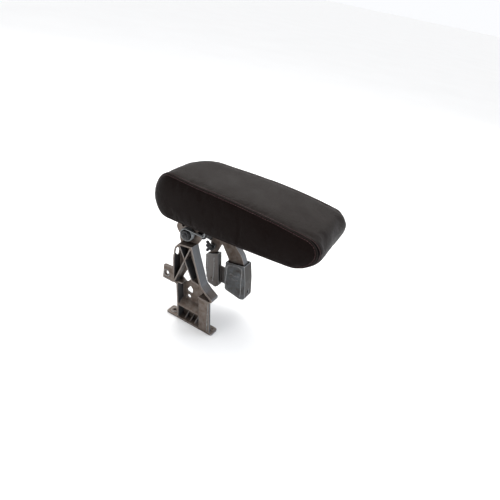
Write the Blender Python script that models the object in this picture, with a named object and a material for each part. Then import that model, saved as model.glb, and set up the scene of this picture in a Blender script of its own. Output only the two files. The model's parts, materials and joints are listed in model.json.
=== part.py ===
"""Centre console armrest: a padded lid that hinges on two metal side frames.

All sizes are millimetres. +X is the pad's front end, +Y is the far side frame,
+Z is up, and z = 0 is the underside of the near side frame's foot.
"""
import math

import bmesh
import bpy
from mathutils import Matrix, Vector

MM = 0.001
TAU = 2.0 * math.pi

# Clearances
FIT_GAP = 0.3
CUT_OVERRUN = 1.0

# Pad
PAD_LENGTH = 326.0
PAD_WIDTH = 131.0
PAD_WIDTH_TAPER = 0.09
PAD_SIDE_BOW = 4.5
PAD_THICKNESS = 67.0
PAD_THICKNESS_TAPER = 0.197
PAD_ARCH = 9.0
PAD_REAR_TOP_SHARE = 0.59
PAD_FRONT_TOP_SHARE = 0.38
PAD_END_FLAT = 1.0
PAD_END_STEADY = 4.0
PAD_REAR_PLAN_RADIUS = 32.0
PAD_FRONT_PLAN_RADIUS = 22.0
PAD_EDGE_RADIUS = 5.0
PAD_SIDE_BELLY = 4.5

# Carrier plate let into the pad's underside
CARRIER_REAR_X = -120.0
CARRIER_FRONT_X = 72.0
CARRIER_WIDTH = 88.0
CARRIER_THICKNESS = 7.5
CARRIER_PROUD = 1.5
CARRIER_CORNER = 14.0
CARRIER_RIB_HEIGHT = 1.6
CARRIER_RIB_WIDTH = 3.0
CARRIER_RIB_COUNT = 4
EAR_RUN = 1.0

# Hinge axle
AXLE_X = -91.0
AXLE_Z = 195.5
AXLE_RADIUS = 5.0
AXLE_HEAD_RADIUS = 9.0
AXLE_HEAD_LENGTH = 3.0
AXLE_TAIL = 1.4
AXLE_CHAMFER = 1.0
CLIP_RADIUS = 8.0
CLIP_THICKNESS = 1.2
CLIP_GROOVE_DEPTH = 1.0

# Near side frame
NEAR_FACE_Y = -52.0
NEAR_BACK_Y = -30.0
NEAR_WEB = 3.0
NEAR_WALL = 3.2
NEAR_RIB = 2.6
ROOF_REAR_X = -102.0
ROOF_REAR_Z = 174.5
ROOF_FRONT_X = -72.0
ROOF_FRONT_Z = 179.5
FOOT_REAR_X = -115.0
FOOT_FRONT_X = -3.0
FOOT_THICKNESS = 3.6
FOOT_BACK_Y = -28.0
FOOT_HOLE_RADIUS = 3.2
FOOT_HOLE_INSET = 12.0
FOOT_BOSS_RADIUS = 6.5
FOOT_BOSS_HEIGHT = 1.4
COLUMN_DEPTH = 6.0
CAPITAL_Z = 77.0
CAPITAL_THICKNESS = 3.0
CAPITAL_PROUD = 1.5
SHELF_NEAR_Z = 33.5
SHELF_RISE = 9.0
SHELF_THICKNESS = 3.0
GUSSET_THICKNESS = 2.6
GUSSET_HEIGHT = 13.0
GUSSET_XS = (-72.0, -59.0, -48.0)
WEB_HOLE_RADIUS = 4.0
TAB_REAR_X = -131.5
TAB_LOW_Z = 81.5
TAB_HIGH_Z = 113.5
TAB_THICKNESS = 3.0
TAB_BOSS_RADIUS = 8.0
TAB_BOSS_PROUD = 1.6
TAB_SLOT_RADIUS = 2.6
TAB_SLOT_LENGTH = 9.0

# Near side frame's side outline and the open bays inside it, as (x, z, corner radius)
NEAR_OUTLINE = (
    (-88.0, 0.0, 0.0), (-91.0, 34.0, 20.0), (-98.0, TAB_LOW_Z, 1.0), (-106.5, TAB_LOW_Z + 2.0, 2.0),
    (-111.5, 139.0, 40.0), (-110.0, 163.0, 8.0), (ROOF_REAR_X, ROOF_REAR_Z, 2.0),
    (ROOF_FRONT_X, ROOF_FRONT_Z, 1.0), (-62.0, 154.0, 40.0), (-41.0, 105.5, 14.0),
    (-28.0, 94.5, 20.0), (-12.5, 85.5, 4.0), (-13.5, 79.5, 2.0), (-18.5, CAPITAL_Z, 0.5),
    (-8.0, 0.0, 0.0))
NEAR_BAYS = (
    (-34.0, FOOT_THICKNESS, 0.0), (-43.0, CAPITAL_Z, 0.0), (-43.0, CAPITAL_Z + CAPITAL_THICKNESS, 0.0),
    (-18.0, CAPITAL_Z + CAPITAL_THICKNESS, 1.0), (-17.5, 82.8, 1.0), (-29.5, 90.8, 10.0),
    (-44.0 - 0.2 * NEAR_WALL, 103.5, 10.0), (-62.0 - NEAR_WALL, 152.5, 30.0),
    (ROOF_FRONT_X - 0.9 * NEAR_WALL, ROOF_FRONT_Z - NEAR_WALL - 0.6, 2.0),
    (ROOF_REAR_X + 0.6 * NEAR_WALL, ROOF_REAR_Z - NEAR_WALL - 0.2, 2.0),
    (-110.0 + NEAR_WALL, 161.5, 6.0), (-111.5 + NEAR_WALL, 139.0, 30.0),
    (-107.0 + NEAR_WALL, TAB_LOW_Z + 5.5, 2.0), (-98.0 + NEAR_WALL, TAB_LOW_Z + 2.5, 1.0),
    (-97.8 + NEAR_WALL, TAB_LOW_Z, 2.0), (-91.0 + NEAR_WALL, 34.0, 20.0),
    (-88.0 + NEAR_WALL, FOOT_THICKNESS, 0.0))
BEHIND_COLUMN = ((-38.5, FOOT_THICKNESS), (-2.0, FOOT_THICKNESS), (-12.0, CAPITAL_Z), (-38.5, CAPITAL_Z))
CAPITAL_REAR_X = -44.0
CAPITAL_FRONT_X = -15.0
SHELF_REAR_X = -89.5
SHELF_FRONT_X = -37.5
TAB_ROOT_X = -109.5
TAB_LIP_THICKNESS = 2.4
TAB_LIP_DROP = 2.2
TAB_LIP_DEPTH = 6.5
BRACE_WINDOW = ((-84.5, 121.0, 2.0), (-97.0, 89.5, 2.0), (-85.5, 83.0, 2.0), (-70.5, 102.0, 2.0))
PEDESTAL_WINDOW = ((-84.0, 63.5, 2.0), (-76.0, 77.5, 2.0), (-70.0, 71.0, 2.0), (-70.0, 60.0, 2.0))
WEB_HOLE_PLACE = (-76.7, 51.0)
# Window in the frame's rear wall, as (y, z, corner radius)
REAR_WINDOW = ((-49.0, 150.0, 2.0), (-36.5, 137.0, 2.0), (-36.0, 150.0, 4.0), (-42.0, 161.0, 4.0),
               (-49.0, 161.0, 3.0))
REAR_WINDOW_XS = (-114.5, -105.5)
FOOT_FRONT_HOLE_SCALE = 0.75

# Ear of the near side frame, which carries the axle
NEAR_EAR_THICKNESS = 5.0
NEAR_EAR_RADIUS = 26.0
NEAR_EAR_LOBE = 31.5
EAR_NECK = ((-114.0, 185.0), (-112.5, 174.0), (-107.0, 160.0), (-80.0, 160.0), (-74.0, 174.0))
STOP_SLOT_RADIUS = 18.5
STOP_PIN_RADIUS = 2.5
STOP_HEAD_RADIUS = 3.6
STOP_HEAD_LENGTH = 1.5
STOP_PIN_PROUD = 0.4
STOP_REST_ANGLE = 103.0
LIFT_ANGLE = 50.0

# Far side frame
FAR_NEAR_Y = 40.0
FAR_BACK_Y = 56.0
FAR_WEB = 4.0
FAR_FLANGE = 3.5
FAR_EAR_RADIUS = 19.0
FAR_EAR_THICKNESS = 6.0
FAR_LEG_BOTTOM_Z = 60.0
FAR_RIB = 2.8
BARE_LEG_REAR_X = -95.0
BARE_LEG_FRONT_X = -62.0
BARE_LEG_DROP = 5.0
FAR_RIBS = (((-84.0, 156.0), (-50.0, 164.0)), ((-38.0, 140.0), (-5.0, 112.0)))
# Side outline of the far frame and of the hollow between its flanges, as (x, z, corner radius)
FAR_OUTLINE = (
    (-76.5, FAR_LEG_BOTTOM_Z, 1.0), (-85.4, 111.0, 20.0), (-88.0, 150.0, 14.0),
    (AXLE_X - FAR_EAR_RADIUS + 1.5, AXLE_Z - 6.0, 4.0), (AXLE_X, AXLE_Z + 6.0, 1.0),
    (AXLE_X + 11.0, AXLE_Z + 15.0, 4.0), (-29.0, 158.0, 20.0), (-12.0, 142.0, 14.0),
    (-2.5, 124.0, 10.0), (0.0, 100.0, 20.0), (4.0, FAR_LEG_BOTTOM_Z, 1.0),
    (-31.0, FAR_LEG_BOTTOM_Z, 1.0), (-40.9, 123.5, 6.0), (-60.4, 151.0, 2.0), (-68.5, 127.0, 6.0),
    (-66.5, FAR_LEG_BOTTOM_Z, 1.0))
FAR_HOLLOW = (
    (-75.5 + FAR_FLANGE, FAR_LEG_BOTTOM_Z - BARE_LEG_DROP, 0.0), (-85.4 + FAR_FLANGE, 111.0, 20.0),
    (-88.0 + FAR_FLANGE, 152.0, 8.0), (AXLE_X - 2.0, AXLE_Z - FAR_EAR_RADIUS - 1.0, 3.0),
    (AXLE_X + FAR_EAR_RADIUS + 2.0, AXLE_Z - 8.0, 3.0), (-31.5, 155.0, 20.0), (-14.5, 139.5, 14.0),
    (-6.2, 123.0, 10.0), (-3.7, 100.0, 20.0), (0.3, FAR_LEG_BOTTOM_Z - BARE_LEG_DROP, 0.0))

# Far base bracket, a pressed double shoe that the far frame's legs stand in
SHOE_WALL = 2.5
SHOE_NEAR_Y = 34.0
FRONT_SHOE_BACK_Y = 62.0
REAR_SHOE_BACK_Y = 47.0
REAR_SHOE_TOP_Z = 131.0
LINK_LOW_Z = 58.0
LINK_HIGH_Z = 98.0
SHOE_BOLT_RADIUS = 3.0
SHOE_BOLT_HEAD = 5.5
SHOE_BOLT_HEAD_LENGTH = 3.2
FRONT_BOLT = (-14.0, 84.0)
REAR_BOLT = (-75.0, 84.0)
REAR_BOLT_PROUD = 1.5
BOSS_WALL = 3.5
# Outside and inside outlines of the two shoes, as (x, z, corner radius)
FRONT_SHOE = ((-35.0, 52.0, 5.0), (4.0, 45.0, 6.0), (15.0, 50.0, 6.0), (9.0, 92.0, 20.0),
              (1.0, 126.0, 1.0), (-3.0, 126.0, 0.5), (-43.0, 118.0, 1.0), (-41.0, 90.0, 20.0))
FRONT_SHOE_INSIDE = (
    (-35.0 + SHOE_WALL, 52.0 + SHOE_WALL, 4.0), (4.0, 45.0 + SHOE_WALL, 4.0),
    (15.0 - SHOE_WALL, 50.0 + SHOE_WALL, 4.0), (9.0 - SHOE_WALL, 92.0, 20.0),
    (1.5 - SHOE_WALL, 130.0, 0.0), (-43.5 + SHOE_WALL, 121.5, 0.0), (-41.0 + SHOE_WALL, 90.0, 20.0))
REAR_SHOE = ((-78.0, 48.0, 5.0), (-58.0, 45.0, 5.0), (-50.5, 52.0, 5.0), (-58.0, 100.0, 20.0),
             (-62.5, 128.5, 1.0), (-91.5, 115.0, 1.0), (-88.0, 80.0, 20.0))
REAR_SHOE_INSIDE = (
    (-78.0 + SHOE_WALL, 48.0 + SHOE_WALL, 4.0), (-58.0, 45.0 + SHOE_WALL, 4.0),
    (-51.0 - SHOE_WALL, 53.0, 4.0), (-58.0 - SHOE_WALL, 100.0, 20.0), (-62.5 - SHOE_WALL, 133.0, 0.0),
    (-91.8 + SHOE_WALL, 119.5, 0.0), (-88.0 + SHOE_WALL, 80.0, 20.0))
LINK_REAR_X = -60.0
LINK_FRONT_X = -38.6
LINK_OFFSET_Y = 1.0
PANEL_SLOT_PLACE = (48.0, 63.0)
PANEL_SLOT_LENGTH = 11.0
PANEL_SLOT_RADIUS = 2.6
PANEL_SLOT_XS = (5.0, 20.0)

# Hinge arm, a black pressed channel under the carrier
ARM_PLATE = 2.5
ARM_NEAR_Y = -27.0
ARM_FAR_Y = 31.0
ARM_REAR_X = -116.0
ARM_FRONT_X = -50.0
ARM_LUG_RADIUS = 13.0
ARM_RISE = 27.33
ARM_REAR_REACH = 21.5
ARM_TAB_REAR_X = -67.0
ARM_TAB_FRONT_X = -56.0
ARM_TAB_END_Y = -49.0
SCREW_RADIUS = 2.5
SCREW_HEAD_RADIUS = 4.6
SCREW_HEAD_LENGTH = 2.6
SCREW_BITE = 5.0
SCREW_XS = (-106.0, -62.0)
SCREW_YS = (-16.0, 20.0)

# Bushings, tube and sleeves on the axle
BUSH_WALL = 1.6
BUSH_FLANGE_RADIUS = 9.0
BUSH_FLANGE = 1.2
HINGE_TUBE_RADIUS = 8.0
SLEEVE_WALL = 4.0

# Torsion spring
SPRING_WIRE_RADIUS = 1.5
SPRING_MEAN_RADIUS = 12.0
SPRING_TURNS = 3.375
SPRING_NEAR_Y = -46.5
SPRING_FAR_Y = -36.8
SPRING_HOOK_HEIGHT = 9.0

# Ratchet sector and pawl
SECTOR_THICKNESS = 4.0
SECTOR_TIP_RADIUS = 47.0
TOOTH_DEPTH = 3.2
TOOTH_COUNT = 6
SECTOR_FACING_ANGLE = 270.0
SECTOR_RELIEF_HALF_ANGLE = 7.0
SECTOR_RELIEF_DEPTH = 5.0
SECTOR_MARGIN_ANGLE = 4.0
SECTOR_HUB_RADIUS = 15.0
SECTOR_RIVET_SPREAD = 9.0
SECTOR_RIVET_RISE = 16.5
RIVET_RADIUS = 2.0
RIVET_HEAD_RADIUS = 3.6
RIVET_HEAD_LENGTH = 1.4
PAWL_X = -80.0
PAWL_Z = 136.0
PAWL_THICKNESS = 3.0
# Corners of the pawl's two arms, from its pivot
PAWL_OUTLINE = ((-3.0, 6.0), (-1.0, 0.0), (-3.0, -5.9), (-6.5, -12.0), (-11.5, -12.5), (-11.0, -6.5),
                (-7.5, -4.0), (-13.0, -1.5), (-13.0, 3.0), (-9.5, 4.5), (-15.0, 7.5))
PAWL_TIP_CLEARANCE = 0.6
PAWL_NOSE_WIDTH = 2.8
PAWL_HUB_RADIUS = 6.5
PAWL_PIN_RADIUS = 2.5
PAWL_PIN_HEAD_RADIUS = 4.5
PAWL_PIN_HEAD_LENGTH = 1.4
PAWL_BOSS_RADIUS = 4.2
PAWL_SPRING_WIRE_RADIUS = 0.5
PAWL_SPRING_TURNS = 2.5

AXLE = (AXLE_X, AXLE_Z)
PAWL_PIVOT = (PAWL_X, PAWL_Z)
NEAR_WEB_Y = NEAR_BACK_Y - NEAR_WEB
EAR_MID_Y = NEAR_BACK_Y - 0.5 * NEAR_WEB
EAR_NEAR_Y = EAR_MID_Y - 0.5 * NEAR_EAR_THICKNESS
EAR_FAR_Y = EAR_MID_Y + 0.5 * NEAR_EAR_THICKNESS
BUSH_BORE = AXLE_RADIUS + FIT_GAP
BUSH_OUTER = BUSH_BORE + BUSH_WALL
SECTOR_NEAR_Y = ARM_FAR_Y + FIT_GAP
SECTOR_FAR_Y = SECTOR_NEAR_Y + SECTOR_THICKNESS
PAWL_NEAR_Y = SECTOR_NEAR_Y + 0.5 * (SECTOR_THICKNESS - PAWL_THICKNESS)
PAWL_FAR_Y = PAWL_NEAR_Y + PAWL_THICKNESS
SLEEVE_NEAR_Y = SPRING_NEAR_Y - SPRING_WIRE_RADIUS - 0.5
CLIP_FAR_Y = SLEEVE_NEAR_Y - FIT_GAP
CLIP_NEAR_Y = CLIP_FAR_Y - CLIP_THICKNESS
HALF_LENGTH = 0.5 * PAD_LENGTH
PAD_DEPTH_AT_AXLE = PAD_THICKNESS * (1.0 - PAD_THICKNESS_TAPER * AXLE_X / HALF_LENGTH)
PAD_TOP_Z = AXLE_Z + ARM_RISE + FIT_GAP + CARRIER_PROUD + PAD_DEPTH_AT_AXLE
SCREW_TILT = math.atan(PAD_THICKNESS * PAD_THICKNESS_TAPER / HALF_LENGTH)


# Shape helpers

def rounded(corners, step=15.0):
    """Outline through (a, b, radius) corners, with each corner turned into an arc."""
    points = []
    count = len(corners)
    for index, (a, b, radius) in enumerate(corners):
        here = Vector((a, b))
        before = Vector(corners[index - 1][:2]) - here
        after = Vector(corners[(index + 1) % count][:2]) - here
        if radius <= 0.0:
            points.append((a, b))
            continue
        half = 0.5 * before.angle(after)
        reach = min(radius / math.tan(half), 0.49 * before.length, 0.49 * after.length)
        radius = reach * math.tan(half)
        start = here + before.normalized() * reach
        end = here + after.normalized() * reach
        centre = here + (before.normalized() + after.normalized()).normalized() * (radius / math.sin(half))
        first = math.atan2(start.y - centre.y, start.x - centre.x)
        sweep = math.atan2(end.y - centre.y, end.x - centre.x) - first
        sweep = (sweep + math.pi) % TAU - math.pi
        steps = max(1, round(abs(math.degrees(sweep)) / step))
        for k in range(steps + 1):
            angle = first + sweep * k / steps
            points.append((centre.x + radius * math.cos(angle), centre.y + radius * math.sin(angle)))
    return points


def circle(centre, radius, count=24):
    return [(centre[0] + radius * math.cos(TAU * k / count),
             centre[1] + radius * math.sin(TAU * k / count)) for k in range(count)]


def polar(centre, radius, degrees):
    angle = math.radians(degrees)
    return (centre[0] + radius * math.cos(angle), centre[1] + radius * math.sin(angle))


def stadium(centre, length, radius, count=12):
    """Upright slot outline with round ends; length is from end to end."""
    reach = 0.5 * length - radius
    upper = (centre[0], centre[1] + reach)
    lower = (centre[0], centre[1] - reach)
    points = [polar(upper, radius, 180.0 * k / count) for k in range(count + 1)]
    return points + [polar(lower, radius, 180.0 + 180.0 * k / count) for k in range(count + 1)]


def make_object(name, bm):
    bmesh.ops.recalc_face_normals(bm, faces=bm.faces)
    mesh = bpy.data.meshes.new(name)
    bm.to_mesh(mesh)
    bm.free()
    obj = bpy.data.objects.new(name, mesh)
    bpy.context.scene.collection.objects.link(obj)
    return obj


def prism(outline, low, high, axis="Y", name="solid"):
    """Solid between two planes across an axis, from an outline in the other two axes."""
    places = {"X": lambda a, b, depth: (depth, a, b), "Y": lambda a, b, depth: (a, depth, b),
              "Z": lambda a, b, depth: (a, b, depth)}
    place = places[axis]
    bm = bmesh.new()
    rings = [[bm.verts.new(Vector(place(a, b, depth)) * MM) for a, b in outline] for depth in (low, high)]
    bm.faces.new(rings[0])
    bm.faces.new(reversed(rings[1]))
    for k in range(len(outline)):
        j = (k + 1) % len(outline)
        bm.faces.new((rings[0][k], rings[1][k], rings[1][j], rings[0][j]))
    return make_object(name, bm)


def turned(loop, centre, name="solid", count=24):
    """Solid of revolution about a line along Y through centre; loop holds (y, radius)."""
    bm = bmesh.new()
    rings = []
    for y, radius in loop:
        if radius == 0.0:
            rings.append([bm.verts.new(Vector((centre[0], y, centre[1])) * MM)])
        else:
            rings.append([bm.verts.new(Vector((x, y, z)) * MM) for x, z in circle(centre, radius, count)])
    for index, ring in enumerate(rings):
        following = rings[(index + 1) % len(rings)]
        if len(ring) == 1 and len(following) == 1:
            continue
        for k in range(count):
            j = (k + 1) % count
            corners = [ring[k % len(ring)], ring[j % len(ring)], following[j % len(following)],
                       following[k % len(following)]]
            bm.faces.new(list(dict.fromkeys(corners)))
    return make_object(name, bm)


def sleeve(centre, bore, outer, low, high, name, count=24):
    return turned([(low, bore), (low, outer), (high, outer), (high, bore)], centre, name, count)


def strip(start, end, thickness, low, high):
    """Flat rib from start to end in the XZ plane, standing between two Y planes."""
    along = Vector(end) - Vector(start)
    across = Vector((-along.y, along.x)).normalized() * 0.5 * thickness
    corners = [Vector(start) - across, Vector(end) - across, Vector(end) + across, Vector(start) + across]
    return prism([tuple(c) for c in corners], low, high)


def combine(target, tool, operation):
    """Boolean of target and tool; the tool's object is used up."""
    modifier = target.modifiers.new("combine", "BOOLEAN")
    modifier.operation = operation
    modifier.solver = "EXACT"
    modifier.object = tool
    depsgraph = bpy.context.evaluated_depsgraph_get()
    mesh = bpy.data.meshes.new_from_object(target.evaluated_get(depsgraph))
    target.modifiers.clear()
    target.data = mesh
    bpy.data.objects.remove(tool)
    return target


def join(target, *tools):
    for tool in tools:
        combine(target, tool, "UNION")
    return target


def cut(target, *tools):
    for tool in tools:
        combine(target, tool, "DIFFERENCE")
    return target


def drill(target, centre, radius, low, high, count=16, axis="Y"):
    """Round hole through target from low to high, run out past both planes."""
    return cut(target, prism(circle(centre, radius, count), low - CUT_OVERRUN, high + CUT_OVERRUN, axis))


def tidy(obj):
    """Merge the slivers that cutting leaves."""
    bm = bmesh.new()
    bm.from_mesh(obj.data)
    bmesh.ops.remove_doubles(bm, verts=bm.verts, dist=0.02 * MM)
    bmesh.ops.dissolve_degenerate(bm, edges=bm.edges, dist=0.01 * MM)
    bm.to_mesh(obj.data)
    bm.free()
    return obj


def wire(points, radius, name, resolution=2):
    """Round wire along points, with closed ends."""
    curve = bpy.data.curves.new(name, "CURVE")
    curve.dimensions = "3D"
    curve.bevel_depth = radius * MM
    curve.bevel_resolution = resolution
    curve.use_fill_caps = True
    spline = curve.splines.new("POLY")
    spline.points.add(len(points) - 1)
    for point, place in zip(spline.points, points):
        point.co = (place[0] * MM, place[1] * MM, place[2] * MM, 1.0)
    obj = bpy.data.objects.new(name, curve)
    bpy.context.scene.collection.objects.link(obj)
    return obj


def material(name, color, roughness, metallic):
    mat = bpy.data.materials.new(name)
    mat.use_nodes = True
    shader = mat.node_tree.nodes["Principled BSDF"]
    shader.inputs["Base Color"].default_value = (*color, 1.0)
    shader.inputs["Roughness"].default_value = roughness
    shader.inputs["Metallic"].default_value = metallic
    mat.diffuse_color = (*color, 1.0)
    return mat


def finish(obj, name, mat, pivot):
    """Name and colour a piece, and hang it on the empty that carries its body."""
    obj.name = name
    obj.data.name = name
    obj.data.materials.clear()
    obj.data.materials.append(mat)
    if obj.type == "MESH":
        obj.data.shade_smooth()
        obj.data.set_sharp_from_angle(angle=math.radians(35.0))
    bpy.context.view_layer.update()
    placed = obj.matrix_world.copy()
    obj.parent = pivot
    obj.matrix_parent_inverse = Matrix.Identity(4)
    obj.matrix_basis = pivot.matrix_world.inverted() @ placed
    return obj


def empty(name, place):
    obj = bpy.data.objects.new(name, None)
    obj.location = Vector(place) * MM
    bpy.context.scene.collection.objects.link(obj)
    bpy.context.view_layer.update()
    return obj


# Shared lines of the model

def underside(x):
    """Height of the pad's flat underside, which rises towards the front."""
    return PAD_TOP_Z - PAD_THICKNESS * (1.0 - PAD_THICKNESS_TAPER * x / HALF_LENGTH)


def arm_top(x):
    """Upper face of the hinge arm's plate, against the carrier."""
    return underside(x) - CARRIER_PROUD - FIT_GAP


def band(rear, front, lower, upper):
    """Outline of a layer that follows the pad's underside between two offsets."""
    return [(rear, underside(rear) + lower), (front, underside(front) + lower),
            (front, underside(front) + upper), (rear, underside(rear) + upper)]


def tilted_pin(radius, low, high, x, y, count=16):
    """Pin square to the pad's underside at (x, y); low and high are measured from the arm's top."""
    bm = bmesh.new()
    length = (high - low) * MM
    bmesh.ops.create_cone(bm, cap_ends=True, segments=count, radius1=radius * MM, radius2=radius * MM,
                          depth=length)
    lift = Matrix.Translation((0.0, 0.0, 0.5 * (high + low) * MM))
    turn = Matrix.Rotation(-SCREW_TILT, 4, "Y")
    place = Matrix.Translation(Vector((x, y, arm_top(x))) * MM)
    bm.transform(place @ turn @ lift)
    return make_object("pin", bm)


# Pad and carrier

def pad_profile(inset, arc_steps=7):
    """Side outline of the pad, drawn in by inset, with a full round at each end."""
    room = PAD_THICKNESS - PAD_END_FLAT
    rear_top = PAD_REAR_TOP_SHARE * room
    front_top = PAD_FRONT_TOP_SHARE * room
    rear_low = room - rear_top
    front_low = room - front_top
    ends = ((-HALF_LENGTH + rear_top, PAD_THICKNESS - rear_top, rear_top, 180.0),
            (HALF_LENGTH - front_top, PAD_THICKNESS - front_top, front_top, 90.0),
            (HALF_LENGTH - front_low, front_low, front_low, 0.0),
            (-HALF_LENGTH + rear_low, rear_low, rear_low, -90.0))
    points = []
    for x, z, radius, start in ends:
        drawn = max(radius - inset, PAD_END_STEADY)
        for k in range(arc_steps + 1):
            points.append(polar((x, z), drawn, start - 90.0 * k / arc_steps))
    outline = []
    for k, (x, z) in enumerate(points):
        outline.append((x, z))
        if k == arc_steps:
            run_x = points[k + 1][0] - x
            run_z = points[k + 1][1] - z
            for step in range(1, 8):
                outline.append((x + run_x * step / 8.0, z + run_z * step / 8.0))
    shaped = []
    for x, z in outline:
        arch = PAD_ARCH * (1.0 - (x / HALF_LENGTH) ** 2) * z / PAD_THICKNESS
        depth = (PAD_THICKNESS - z) * (1.0 - PAD_THICKNESS_TAPER * x / HALF_LENGTH)
        shaped.append((x, PAD_TOP_Z - depth + arch))
    return shaped


def plan_place(x, y):
    """Place in plan of a profile point: the pad widens to the front, bows out and has round corners."""
    half_width = 0.5 * PAD_WIDTH
    along = x / HALF_LENGTH
    radius = PAD_REAR_PLAN_RADIUS if x < 0.0 else PAD_FRONT_PLAN_RADIUS
    over = min(max(abs(y) - (half_width - radius), 0.0), radius)
    pull = (radius - math.sqrt(radius ** 2 - over ** 2)) * along ** 4
    spread = 1.0 + PAD_WIDTH_TAPER * along + PAD_SIDE_BOW / half_width * (1.0 - along ** 2)
    return x - math.copysign(pull, x), y * spread


def pad_cushion():
    """Stuffed pad with a full round at each end, bellied sides and a carrier recess."""
    half_width = 0.5 * PAD_WIDTH
    edge = half_width - PAD_SIDE_BELLY
    stations = [(half_width, 0.42 * PAD_THICKNESS),
                (half_width - 0.5 * PAD_SIDE_BELLY, 0.2 * PAD_THICKNESS),
                (edge, PAD_EDGE_RADIUS),
                (edge - 0.3 * PAD_EDGE_RADIUS, 0.3 * PAD_EDGE_RADIUS),
                (edge - PAD_EDGE_RADIUS, 0.0),
                (0.75 * half_width, 0.0),
                (0.5 * half_width, 0.0)]
    rows = [(-y, inset) for y, inset in stations] + [(y, inset) for y, inset in reversed(stations)]
    bm = bmesh.new()
    rings = []
    for y, inset in rows:
        ring = []
        for x, z in pad_profile(inset):
            placed_x, placed_y = plan_place(x, y)
            ring.append(bm.verts.new(Vector((placed_x, placed_y, z)) * MM))
        rings.append(ring)
    for before, after in zip(rings, rings[1:]):
        for k in range(len(before)):
            j = (k + 1) % len(before)
            bm.faces.new((before[k], before[j], after[j], after[k]))
    bm.faces.new(rings[0])
    bm.faces.new(reversed(rings[-1]))
    bmesh.ops.triangulate(bm, faces=[f for f in bm.faces if len(f.verts) > 4])
    pad = make_object("pad", bm)
    depth = CARRIER_THICKNESS - CARRIER_PROUD + FIT_GAP
    recess = prism(band(CARRIER_REAR_X - FIT_GAP, CARRIER_FRONT_X + FIT_GAP, -10.0, depth),
                   -0.5 * CARRIER_WIDTH - FIT_GAP, 0.5 * CARRIER_WIDTH + FIT_GAP)
    return cut(pad, recess)


def pad_carrier():
    """Moulded plate in the pad's underside, ribbed in front and let in where the near ear swings past."""
    lower = -CARRIER_PROUD
    upper = CARRIER_THICKNESS - CARRIER_PROUD
    half = 0.5 * CARRIER_WIDTH
    plate = prism(band(CARRIER_REAR_X, CARRIER_FRONT_X, lower, upper), -half, half)
    plan = rounded([(CARRIER_REAR_X, -half, CARRIER_CORNER), (CARRIER_FRONT_X, -half, CARRIER_CORNER),
                    (CARRIER_FRONT_X, half, CARRIER_CORNER), (CARRIER_REAR_X, half, CARRIER_CORNER)])
    limit = prism(plan, underside(CARRIER_REAR_X) - 20.0, underside(CARRIER_FRONT_X) + 20.0, "Z")
    combine(plate, limit, "INTERSECT")
    rear = ARM_FRONT_X + 2.0 * CARRIER_RIB_WIDTH
    front = CARRIER_FRONT_X - CARRIER_CORNER
    for k in range(CARRIER_RIB_COUNT):
        x = rear + (front - rear) * k / (CARRIER_RIB_COUNT - 1)
        section = band(x - 0.5 * CARRIER_RIB_WIDTH, x + 0.5 * CARRIER_RIB_WIDTH,
                       lower - CARRIER_RIB_HEIGHT, lower + CUT_OVERRUN)
        join(plate, prism(section, -half + CARRIER_CORNER, half - CARRIER_CORNER))
    for x in SCREW_XS:
        for y in SCREW_YS:
            cut(plate, tilted_pin(SCREW_RADIUS + FIT_GAP, -CUT_OVERRUN, SCREW_BITE + 2.0 * FIT_GAP, x, y))
    swept = circle(AXLE, NEAR_EAR_LOBE + FIT_GAP, 48)
    return cut(plate, prism(swept, EAR_NEAR_Y - EAR_RUN, EAR_FAR_Y + EAR_RUN))


# Hinge arm and what turns with it

def arm_wall(low, high):
    """Cheek with an axle lug, long enough at the rear to lie behind the ear's stop slot."""
    outline = rounded([(ARM_REAR_X, arm_top(ARM_REAR_X), 0.0),
                       (AXLE_X - ARM_REAR_REACH, AXLE_Z + 4.0, 4.0),
                       (AXLE_X, AXLE_Z - ARM_LUG_RADIUS + 0.5, 4.0),
                       (ARM_TAB_REAR_X + 5.0, AXLE_Z - 6.0, 8.0),
                       (ARM_FRONT_X - 3.0, AXLE_Z + 10.0, 6.0),
                       (ARM_FRONT_X, arm_top(ARM_FRONT_X), 0.0)])
    wall = prism(outline, low, high)
    join(wall, prism(circle(AXLE, ARM_LUG_RADIUS), low, high))
    return drill(wall, AXLE, BUSH_OUTER + FIT_GAP, low, high, 24)


def hinge_arm():
    """Pressed channel: a plate under the carrier, two cheeks with axle lugs, and a spring tab."""
    top_rear = arm_top(ARM_REAR_X)
    top_front = arm_top(ARM_FRONT_X)
    plate = [(ARM_REAR_X, top_rear - ARM_PLATE), (ARM_FRONT_X, top_front - ARM_PLATE),
             (ARM_FRONT_X, top_front), (ARM_REAR_X, top_rear)]
    arm = prism(plate, ARM_NEAR_Y, ARM_FAR_Y)
    near_inner = ARM_NEAR_Y + ARM_PLATE
    far_inner = ARM_FAR_Y - ARM_PLATE
    join(arm, arm_wall(ARM_NEAR_Y, near_inner), arm_wall(far_inner, ARM_FAR_Y))
    tab_low = AXLE_Z + SPRING_MEAN_RADIUS + SPRING_WIRE_RADIUS + FIT_GAP
    tab = prism([(ARM_TAB_REAR_X, tab_low), (ARM_TAB_FRONT_X, tab_low),
                 (ARM_TAB_FRONT_X, tab_low + ARM_PLATE), (ARM_TAB_REAR_X, tab_low + ARM_PLATE)],
                ARM_TAB_END_Y, ARM_NEAR_Y + 0.5 * ARM_PLATE)
    join(arm, tab)
    for x in SCREW_XS:
        for y in SCREW_YS:
            cut(arm, tilted_pin(SCREW_RADIUS + FIT_GAP, -2.0 * ARM_PLATE, CUT_OVERRUN, x, y))
    drill(arm, polar(AXLE, STOP_SLOT_RADIUS, STOP_REST_ANGLE), STOP_PIN_RADIUS + FIT_GAP,
          ARM_NEAR_Y, near_inner)
    for place in sector_rivet_places():
        drill(arm, place, RIVET_RADIUS + FIT_GAP, far_inner, ARM_FAR_Y)
    return arm


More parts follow.
